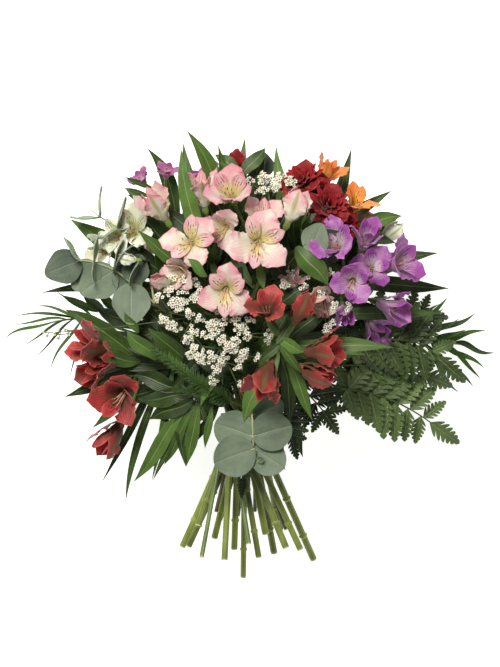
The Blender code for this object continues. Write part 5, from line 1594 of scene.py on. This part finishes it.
@dataclass
class Stamens:
    """The six stamens of each open floret, which lean to its lower side."""

    workshop: Workshop
    threads: Strands = field(default_factory=lambda: Strands(5, 3.0))
    heads: Copies = field(default_factory=Copies)
    head_length: float = 3.0
    reach: Pair = (23.0, 28.0)
    radii: Pair = (0.45, 0.3)
    count: int = 6
    # Turn of the first one about the floret, in degrees.
    first_turn: float = 25.0

    def add(self, bloom: Bloom) -> None:
        """Adds the stamens of a floret.

        Args:
            bloom: The floret.
        """
        if bloom.kind in (BUD, BELL):
            return
        ahead, first, _ = bloom.axes
        spread = 5.5 if bloom.kind is OPEN else 3.5
        for number in range(self.count):
            out = bloom.outs(math.radians(360 / self.count * number + self.first_turn))
            start = bloom.base + (out * 1.6 + ahead * 10.4) * bloom.size
            end = bloom.base + (out * spread - first * 4 + ahead * bloom.vary(*self.reach)) * bloom.size
            middle = (start + end) / 2 + (ahead * 4 - first * 2.5) * bloom.size
            girth = tuple(radius * bloom.size for radius in self.radii)
            self.threads.add(bow(start, middle, end, np.linspace(0, 1, 5)), girth, 0.6)
            long = self.head_length * bloom.size
            self.heads.add(end, end - middle, first, (long / 2, long, long / 2), bloom.vary(0, 1))

    def build(self) -> None:
        """Makes the threads and the heads of all florets."""
        slot = Petals.PINK.value
        finish_piece(self.threads.mesh(self.workshop, "stamen_threads", THREAD), slot)
        shape = blade_copy(ANTHER_FORM, 0.7)
        finish_piece(self.heads.mesh(self.workshop, "stamen_heads", shape, ANTHER), slot)


@dataclass
class FlowerStem(Growth):
    """A flower stem with its joints, its pedicels, the bracts at its crown and its lance-shaped leaves."""

    name: str
    blooms: list[Bloom]
    tries: int = 30
    head_centre: Pair = (0.0, 62.0)
    head_reach: Pair = (118.0, 96.0)
    # Lowest and highest leaf tip above the table.
    head_heights: Pair = (4.0, 158.0)
    # Height and radius of the ball in front of a floret's foot that leaves keep out of.
    keep_out: Pair = (24.0, 19.0)
    pedicel: tuple[float, ...] = (1.7, 1.35, 1.25, 1.2, 1.2, 1.3, 1.6)
    bract_length: Pair = (16.0, 26.0)
    bract_width: Pair = (4.0, 7.0)
    leaf_length: Pair = (42.0, 72.0)
    leaf_width: Pair = (11.0, 16.0)
    # The leaves of the table are made wider by this factor.
    broadening: float = 1.06
    # Where on the stem the short leaves start, and over how much of it they are spread.
    climb: Pair = (0.3, 0.68)

    def crown(self, strands: Strands) -> None:
        """Adds the pedicels and the bracts.

        Args:
            strands: Where the pedicels go.
        """
        top = stem_path(self.name)[-1]
        for bloom in self.blooms:
            if bloom.stem != self.name:
                continue
            way = unit(bloom.base - top)
            start = top + way * 1.6
            middle = (start + bloom.base) / 2 + way * 2 - bloom.facing * 7
            route = bow(start, middle, bloom.base + bloom.facing * 0.4, np.linspace(0, 1, 7))
            # Painted shade: the pedicels get a low tone, to look shadowed under the florets.
            strands.add(route, self.pedicel, self.vary(-0.3, 0.2))
            tip = top + unit(bloom.base - top + self.draw.normal(0, 9, 3)) * self.vary(*self.bract_length)
            tip[2] = max(tip[2], 2.0)
            width, twist = self.vary(*self.bract_width), self.vary(-0.5, 0.5)
            self.shell.grow(BRACT, top, (top + tip) / 2 + UP * 3, tip, outward(tip), width, twist, tone=0.8)
        strands.add([top - UP * 3.2, top - UP * 1.5, top, top + UP * 1.8], (1.6, 3.2, 3.4, 1.6), 0.6)

    def named_leaves(self) -> None:
        """Adds the leaves of the table."""
        for share, *numbers, width in LEAVES.get(self.name, ()):
            root, tip, lift = along_stem(self.name, share), np.array(numbers[:3], float), np.array(numbers[3:], float)
            middle = (root + tip) / 2 + lift
            twist, phase = self.vary(-0.45, 0.45), self.vary(0, 6)
            shape = root, middle, tip, outward(middle), width * self.broadening, twist, phase
            self.shell.grow(LANCE_LEAF, *shape, tone=self.vary(0.25, 0.95))

    def is_clear(self, places: np.ndarray) -> bool:
        """Tells whether a leaf may stay.

        Args:
            places: Its middle line.

        Returns:
            Whether it ends inside the head and stays clear of every floret.
        """
        spot = (places[-1, :2] - self.head_centre) / self.head_reach
        low, high = self.head_heights
        if (spot**2).sum() > 1 or not low < places[-1, 2] < high:
            return False
        height, radius = self.keep_out
        for bloom in self.blooms:
            centre = bloom.base + bloom.facing * height * bloom.size
            if (np.linalg.norm(places - centre, axis=1) < radius * bloom.size).any():
                return False
        return True

    def short_leaves(self) -> None:
        """Adds short leaves up the stem, in a spiral; the lower, inner ones are darker, as painted shade."""
        for number in range(self.tries):
            share = self.climb[0] + self.climb[1] * (number + self.vary(0, 1)) / self.tries
            root = along_stem(self.name, share)
            way = unit(along_stem(self.name, min(share + 0.08, 1.0)) - along_stem(self.name, share - 0.05))
            side = unit(np.cross(way, UP))
            angle = number * GOLDEN_TURN
            out = side * math.cos(angle) + np.cross(side, way) * math.sin(angle)
            length = self.vary(*self.leaf_length)
            tip = root + (out * self.vary(0.55, 0.85) + way * self.vary(0.5, 0.85)) * length
            middle = (root + tip) / 2 + out * 0.16 * length
            if not self.is_clear(bow(root, middle, tip, np.linspace(0, 1, 7))):
                continue
            width, twist = self.vary(*self.leaf_width), self.vary(-0.6, 0.6)
            # Painted shade: the lower a leaf's middle lies, the darker its tone.
            shade = min(max((middle[2] - 50) / 110, 0.0), 1.0)
            shape = root, middle, tip, outward(middle) + out * 0.4, width, twist, angle
            self.shell.grow(LANCE_LEAF, *shape, tone=shade * self.vary(0.2, 0.9))

    def build(self) -> None:
        """Makes the stalk and its leaves."""
        strands = Strands(12, 3.0)
        strands.add_stem(self.name, self.vary(0.1, 0.9))
        self.crown(strands)
        self.show(strands, self.name + "_stalk", STEM_GREEN, "green_leaf", self.name)
        self.named_leaves()
        self.short_leaves()
        self.show(self.shell, self.name + "_leaves", LEAF_GREEN, "green_leaf", self.name)


@dataclass
class InnerLeaves(Growth):
    """The leaves that close the head between the stems."""

    name: str = "inner_leaves"
    twist: float = 0.45

    def build(self) -> None:
        """Makes the leaves of the table."""
        for *numbers, lift, width, tone in INNER_LEAVES:
            root, tip = np.array(numbers, float).reshape(2, 3)
            middle = (root + tip) / 2 + UP * lift
            twist = self.vary(-self.twist, self.twist)
            shape = root, middle, tip, outward(middle), width, twist, self.vary(0, 6)
            self.shell.grow(LANCE_LEAF, *shape, tone=tone)
        self.show(self.shell, self.name, LEAF_GREEN, "green_leaf")


@dataclass
class EucalyptusSprig(Growth):
    """A twig with round grey-green leaves."""

    name: str
    thickness: float = 0.7
    dish: float = 0.12
    front_tone: Pair = (0.55, 0.8)
    side_tone: Pair = (0.2, 0.8)
    # Leaves seen edge-on get a light tone: painted light, against the shade on their sideways faces.
    edge_tone: Pair = (0.9, 1.0)
    # How far the tip of a leaf is drawn out, in front and elsewhere.
    front_point: float = 0.05
    side_point: float = 0.22

    def disc(self, row: tuple, point: float, phase: float) -> np.ndarray:
        """The places of one round leaf, held at its edge.

        Args:
            row: Its row of the table.
            point: How far its tip is drawn out.
            phase: Where its edge's waves start.

        Returns:
            Rows along and columns across.
        """
        hold, far_edge, facing = np.array(row[:9], float).reshape(3, 3)
        way = unit(far_edge - hold)
        side = unit(np.cross(way, facing))
        radius = row[9] / 2
        along = -np.cos(np.linspace(0.06, math.pi - 0.04, 25))[:, None]
        half = np.sqrt(1 - along**2) * (1 - point * np.clip((along - 0.2) / 0.8, 0, 1))
        along = along + point * 0.8 * np.clip((along - 0.4) / 0.6, 0, 1) ** 2
        across = np.linspace(-1, 1, 19) * half
        waves = np.sin(np.arctan2(across, along) * 3 + phase) * 0.05
        reach = along**2 + across**2
        bowl = self.dish * (reach - 1) + waves * reach**2 - 0.03 * np.exp(-((across / 0.08) ** 2))
        spots = hold + way * (radius * (0.97 + along))[..., None] + side * (radius * across)[..., None]
        return spots + np.cross(side, way) * (radius * bowl)[..., None]

    def build(self) -> None:
        """Makes the twig and its leaves."""
        strands = Strands(8, 3.0)
        nodes = [self.name] if self.name in STEMS else []
        if nodes:
            strands.add_stem(self.name, 0.0)
        start = along_stem(self.name if nodes else "eucalyptus_left", 0.97)
        strands.add([start, *SPRIGS[self.name]], (1.1, 0.6), 1.4)
        front = self.name == "eucalyptus_front"
        for row in DISCS[self.name]:
            hold, way = np.array(row[:3], float), unit(np.subtract(row[3:6], row[:3]))
            grid = self.disc(row, self.front_point if front else self.side_point, self.vary(0, 6))
            # Painted light: leaves seen edge-on are made lighter than the rest.
            tones = self.edge_tone if row[8] < 0.5 else self.front_tone if front else self.side_tone
            self.shell.blade(grid, self.thickness, self.vary(*tones))
            strands.add([hold - way * 0.5, hold + way * 3.5], (0.9, 0.5), 1.4)
        self.show(strands, self.name + "_twig", STEM_TWIG, "eucalyptus_leaf", *nodes)
        self.show(self.shell, self.name + "_leaves", LEAF_EUCALYPTUS, "eucalyptus_leaf", *nodes)


@dataclass
class PalmFrond(Growth):
    """A frond of long thin leaflets that arch down from its rib.

    slim is a factor on their width, and arch how far they bend upwards in the picture, as a share of their length.
    """

    name: str
    slim: float
    arch: float

    def build(self) -> None:
        """Makes the rib and its leaflets."""
        strands = Strands(8, 4.0)
        strands.add_stem(self.name, 0.4)
        rib = np.array(SPRIGS[self.name], float)
        strands.add([along_stem(self.name, 0.98), *rib], (1.4, 1.3, 1.0, 0.7), 0.6)
        for share, *numbers, width in LEAFLETS[self.name]:
            root, tip = path_place(rib, share), np.array(numbers, float)
            middle = (root + tip) / 2 + UP * 5 + self.draw.normal(0, 2.0, 3)
            middle[1] += self.arch * np.linalg.norm(tip - root)
            shape = root, middle, tip, UP, width * self.slim, self.vary(-0.9, 0.9), share * 9
            self.shell.grow(FROND_LEAFLET, *shape, tone=self.vary(0.2, 0.9))
        self.show(strands, self.name + "_stalk", STEM_PALM, "palm_leaf", self.name)
        self.show(self.shell, self.name + "_leaflets", LEAF_PALM, "palm_leaf", self.name)


@dataclass
class FernFronds(Growth):
    """Leatherleaf fronds, each a rib with pairs of toothed pinnae that overlap like tiles."""

    name: str
    strands: Strands = field(default_factory=lambda: Strands(6, 4.0))
    pinnae: Copies = field(default_factory=Copies)
    pinna_width: float = 0.5
    # Part of the rib that carries pairs, and the least width of a pinna.
    paired: float = 0.8
    least_width: float = 22.0

    def frond(self, rib: Any, lengths: tuple, pairs: int, tone: float) -> None:
        """Adds one frond.

        Args:
            rib: The rib's places.
            lengths: Length of the pinnae at foot, middle and tip.
            pairs: Number of pairs.
            tone: Lightness from 0 to 1.
        """
        rib = np.array(rib, float)
        self.strands.add(rib, (1.1, 0.5), 0.8)
        for pair in range(pairs):
            share = self.paired * (pair + 0.3) / (pairs + 0.1)
            way = unit(path_place(rib, min(share + 0.1, 1.0)) - path_place(rib, max(share - 0.1, 0.0)))
            side = unit(np.cross(UP, way))
            length = float(np.interp(share, (0.0, 0.4, 1.0), lengths))
            for hand in (-1, 1):
                long = length * self.vary(0.9, 1.08)
                grow = side * hand * 0.9 + way * self.vary(0.38, 0.6) - UP * self.vary(0.08, 0.28)
                wide = max(long, self.least_width)
                look = UP + side * hand * self.vary(0.1, 0.4)
                here = path_place(rib, min(share + 0.02 * (hand > 0), 1.0))
                self.pinnae.add(here, grow, look, (wide, long, long), tone + self.vary(-0.1, 0.15))
        way, end = unit(rib[-1] - rib[-2]), 2.2 * lengths[2]
        self.pinnae.add(rib[-1] - way * (end - 5), way, UP, (0.9 * end, end, end), tone)

    def build(self) -> None:
        """Makes the fronds, on their own stem or else out of the tie."""
        nodes = [self.name] if self.name in STEMS else []
        if nodes:
            self.strands.add_stem(self.name, 0.4)
        for rib, lengths, pairs, tone in FRONDS[self.name]:
            if nodes:
                self.strands.add([along_stem(self.name, 0.98), rib[0]], (1.3, 1.2))
            else:
                foot = TIE_CENTRE + np.array([rib[0][0] * 0.25 + 6, 10.0, 14.0])
                self.strands.add([foot, (foot + rib[0]) / 2 + UP * 4, rib[0]], (0.8, 0.8), 0.4)
            self.frond(rib, lengths, pairs, tone)
        self.show(self.strands, self.name + "_ribs", STEM_FERN, "fern_leaf", *nodes)
        shape = blade_copy(FERN_PINNA, self.pinna_width)
        finish_piece(self.pinnae.mesh(self.workshop, self.name + "_pinnae", shape, LEAF_FERN), "fern_leaf", *nodes)


@dataclass
class FillerSpray(Growth):
    """The spray of tiny cream florets, in knots at the ends of fine forked branches."""

    name: str = "filler_front"
    strands: Strands = field(default_factory=lambda: Strands(6, 4.0))
    florets: Copies = field(default_factory=Copies)
    knot_reach: float = 4.5
    floret_radius: Pair = (1.9, 2.5)
    # The branches end this far under the middle of a crown.
    drop: float = 4.0

    def knot(self, place: np.ndarray, away: np.ndarray, count: int) -> None:
        """Adds a knot of tiny florets on their own short stalks.

        Args:
            place: The knot's middle.
            away: The way that it looks.
            count: Number of florets, or 0 for a number by chance.
        """
        side = unit(np.cross(away, (0.3, 0.9, 0.1)))
        over = np.cross(away, side)
        count = count or int(self.draw.integers(5, 9))
        for number in range(count):
            angle = number * GOLDEN_TURN + self.vary(-0.3, 0.3)
            reach = self.knot_reach * math.sqrt((number + 0.3) / count)
            offset = (side * math.cos(angle) + over * math.sin(angle)) * reach
            facing = unit(away + offset * 0.2 + self.draw.normal(0, 0.3, 3))
            spot = place + offset + away * (2.4 - reach * reach * 0.12) + self.draw.normal(0, 0.5, 3)
            size = self.vary(*self.floret_radius)
            growth = np.cross(facing, np.cross(facing, (0.2, 1.0, 0.1)))
            self.florets.add(spot, growth, facing, (size, size, size), self.vary(0, 1))
            self.strands.add([place - away * 3.0, spot - facing * size * 0.9], (0.35, 0.4), 0.8)

    def build(self) -> None:
        """Makes the branches and the florets."""
        self.strands.add_stem(self.name, 0.3)
        top = along_stem(self.name, 0.99)
        all_forks = np.array(FILLER_FORKS, float)
        for fork in all_forks:
            self.strands.add([top, (top + fork) / 2 + UP * 2, fork], (1.1, 0.8), 0.3)
        crowns = np.array([row[1:] for row in FILLER_CROWNS], float)
        forks = all_forks[[row[0] for row in FILLER_CROWNS]]
        for fork, crown in zip(forks, crowns):
            self.strands.add([fork, (fork + crown) / 2 + UP * 2, crown - UP * self.drop], (0.7, 0.45), 0.2)
        for across, up, *count in FILLER_KNOTS:
            far = np.hypot(crowns[:, 0] - across, crowns[:, 1] - up)
            near = int(np.argmin(far))
            weight = 1 / (far**2 + 16)
            height = float((crowns[:, 2] * weight).sum() / weight.sum()) + self.vary(-4, 4)
            place = np.array([across, up, height])
            root = crowns[near] - UP * self.drop + (forks[near] - crowns[near]) * 0.12
            self.strands.add([root, (root + place) / 2 - UP * 2, place - UP * 2.5], (0.45, 0.35), 0.2)
            self.knot(place, unit(unit(place - forks[near]) + UP * 1.1), count[0] if count else 0)
        self.show(self.strands, "filler_branches", STEM_FILLER, "filler_flower", self.name)
        mesh = self.florets.mesh(self.workshop, "filler_florets", floret_copy(), FillerFinish())
        finish_piece(mesh, "filler_flower", self.name)


@dataclass
class Plumes(Growth):
    """The fine-needled sprigs that lie under the filler and the red florets."""

    needles_per_mm: float = 3.4
    needle_width: float = 0.13
    # The share of the rib where the needles start, and the share that they cover.
    needled: Pair = (0.18, 0.82)

    def build(self) -> None:
        """Makes the ribs and the needles."""
        strands, needles = Strands(5, 5.0), Copies()
        for start, middle, tip, reach, tone in PLUMES:
            strands.add(bow(start, middle, tip, np.linspace(0, 1, 9)), (0.7, 0.3), tone)
            count = int(np.linalg.norm(np.subtract(tip, start)) * self.needles_per_mm)
            shares = self.needled[0] + self.needled[1] * np.arange(count) / count
            spots, ways = bow(start, middle, tip, shares), bow_ways(start, middle, tip, shares)
            for number, (share, spot, way) in enumerate(zip(shares, spots, ways)):
                angle = number * GOLDEN_TURN
                side = unit(np.cross(way, UP))
                out = side * math.cos(angle) + np.cross(side, way) * math.sin(angle) * 0.7
                far = reach * self.vary(0.75, 1.15) * (1.15 - 0.6 * share)
                size = (far * 0.7, far, 1.2)
                grow = out + way * self.vary(0.5, 0.9)
                needles.add(spot, grow, np.cross(out, way) + UP * 0.5, size, tone + self.vary(0, 0.3))
        self.show(strands, "plume_ribs", STEM_FILLER, "fern_leaf")
        shape = blade_copy(NEEDLE, self.needle_width)
        finish_piece(needles.mesh(self.workshop, "plume_needles", shape, LEAF_NEEDLE), "fern_leaf")


@dataclass
class TwineTie:
    """The tie: turns of twine wound tight round the outline of the stems."""

    workshop: Workshop
    name: str = "tie"
    width: float = 12.0
    turns: int = 5
    steps: int = 44
    radius: float = 1.15
    # The twine lies round the stems as if they were thicker by this factor.
    squeeze: float = 1.12
    # Turn over which the slope of the outline is measured.
    small_turn: float = 0.02

    def outline(self) -> np.ndarray:
        """Finds where the stems are at both edges of the tie and in its middle.

        Returns:
            Rows of across, up and radius, three for each stem.
        """
        rows = []
        for name, (radius, *_) in STEMS.items():
            tail, waist = stem_path(name)[:2]
            way = (waist - tail) / (waist[1] - tail[1])
            for height in (-self.width / 2, 0.0, self.width / 2):
                across, _, up = waist + way * height - TIE_CENTRE
                rows.append((across, up, radius * self.squeeze))
        return np.array(rows)

    def build(self) -> None:
        """Makes the twine."""
        spots = self.outline()
        total = self.turns * self.steps
        route = []
        for number in range(total + 1):
            angle = number * 2 * math.pi / self.steps
            turns = (angle, angle + self.small_turn)
            near, far = ((spots @ (math.cos(turn), math.sin(turn), 1.0)).max() for turn in turns)
            slope = (far - near) / self.small_turn
            out = near + self.radius * 0.9
            drift = (number / total - 0.5) * (self.width - 1.5)
            across = math.cos(angle) * out - math.sin(angle) * slope
            route.append(TIE_CENTRE + (across, drift, math.sin(angle) * out + math.cos(angle) * slope))
        strands = Strands(10, 2.0)
        strands.add(route, (self.radius, self.radius), 0.5, (0.0, 1.0))
        finish_piece(strands.mesh(self.workshop, "tie_twine", TwineFinish()), "tie_twine", self.name)


@dataclass
class Studio:
    """The white card that the bunch lies on, soft light from above and beside it, and the camera looking down."""

    workshop: Workshop
    span: float = 6.0
    camera_height: float = 8.0
    mean_height: float = 0.1
    frame_height: float = 0.6003
    centre: Pair = (0.00045, 0.01935)
    target: tuple[float, float, float] = (0.0, 0.03, 0.1)
    sensor: float = 36.0
    surround: float = 0.12
    warmth: tuple[float, float, float] = (1.0, 0.96, 0.88)
    # Name, place, side and power of each panel.
    panels: tuple = (
        ("key_panel", (-0.45, 0.8, 1.7), 0.6, 38.0),
        ("fill_panel", (0.8, -0.6, 1.5), 1.0, 3.5),
    )

    def card(self) -> None:
        """Lays the card."""
        half = self.span / 2
        mesh = bpy.data.meshes.new("card")
        corners = [(-half, -half, 0), (half, -half, 0), (half, half, 0), (-half, half, 0)]
        mesh.from_pydata(corners, [], [(0, 1, 2, 3)])
        mesh.materials.append(self.workshop.material(CardFinish()))
        card = bpy.data.objects.new("card", mesh)
        bpy.context.scene.collection.objects.link(card)

    def light(self, name: str, place: tuple, size: float, power: float) -> None:
        """Adds a soft panel that looks at the head.

        Args:
            name: Its name.
            place: Where it hangs, in metres.
            size: Its side.
            power: Its power in watts.
        """
        lamp = bpy.data.lights.new(name, "AREA")
        lamp.shape, lamp.size, lamp.energy, lamp.color = "SQUARE", size, power, self.warmth
        panel = bpy.data.objects.new(name, lamp)
        panel.location = place
        panel.rotation_mode = "QUATERNION"
        panel.rotation_quaternion = (Vector(self.target) - Vector(place)).to_track_quat("-Z", "Y")
        bpy.context.scene.collection.objects.link(panel)

    def set_up(self) -> None:
        """Sets the card, the light and the camera."""
        self.card()
        for panel in self.panels:
            self.light(*panel)
        scene = bpy.context.scene
        scene.world = bpy.data.worlds.new("studio")
        scene.world.use_nodes = True
        ground = scene.world.node_tree.nodes["Background"]
        ground.inputs[0].default_value = linear("#ffffff")
        ground.inputs[1].default_value = self.surround
        scene.view_settings.view_transform = "Standard"
        lens = bpy.data.cameras.new("camera")
        lens.sensor_width = self.sensor
        lens.lens = self.sensor * (self.camera_height - self.mean_height) / self.frame_height
        lens.clip_end = 20.0
        camera = bpy.data.objects.new("camera", lens)
        camera.location = (*self.centre, self.camera_height)
        scene.collection.objects.link(camera)
        scene.camera = camera


def all_blooms(workshop: Workshop) -> list[Bloom]:
    """Reads the table of florets.

    Args:
        workshop: Where the finishes are.

    Returns:
        Every floret.
    """
    blooms = []
    for (key, petals), rows in FLORETS.items():
        for number, (kind, stem, *numbers) in enumerate(rows, 1):
            place, facing = np.array(numbers[:6], float).reshape(2, 3)
            tools = workshop, make_draw(Seed.BLOOMS + len(blooms))
            bloom = Bloom(*tools, f"{key}_{number}", petals, kind, stem, place, unit(facing), *numbers[6:])
            bloom.outer_width = OUTER_WIDTHS.get(petals, bloom.outer_width)
            blooms.append(bloom)
    return blooms


def main() -> None:
    """Builds every piece in order."""
    logging.basicConfig(level=logging.INFO, format="%(message)s")
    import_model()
    workshop = Workshop()
    blooms = all_blooms(workshop)
    stamens = Stamens(workshop)
    for bloom in blooms:
        bloom.build()
        stamens.add(bloom)
    stamens.build()
    for number, name in enumerate(FLOWER_STEMS):
        FlowerStem(workshop, make_draw(Seed.STEMS + number), name, blooms).build()
    InnerLeaves(workshop, make_draw(Seed.INNER_LEAVES)).build()
    for number, name in enumerate(DISCS):
        EucalyptusSprig(workshop, make_draw(Seed.EUCALYPTUS + number), name).build()
    for number, row in enumerate((("palm_left", 0.42, 0.12), ("palm_right", 0.85, 0.0))):
        PalmFrond(workshop, make_draw(Seed.PALMS + number), *row).build()
    for number, name in enumerate(FRONDS):
        FernFronds(workshop, make_draw(Seed.FERNS + number), name).build()
    FillerSpray(workshop, make_draw(Seed.FILLER)).build()
    Plumes(workshop, make_draw(Seed.PLUMES)).build()
    TwineTie(workshop).build()
    Studio(workshop).set_up()


if __name__ == "__main__":
    main()
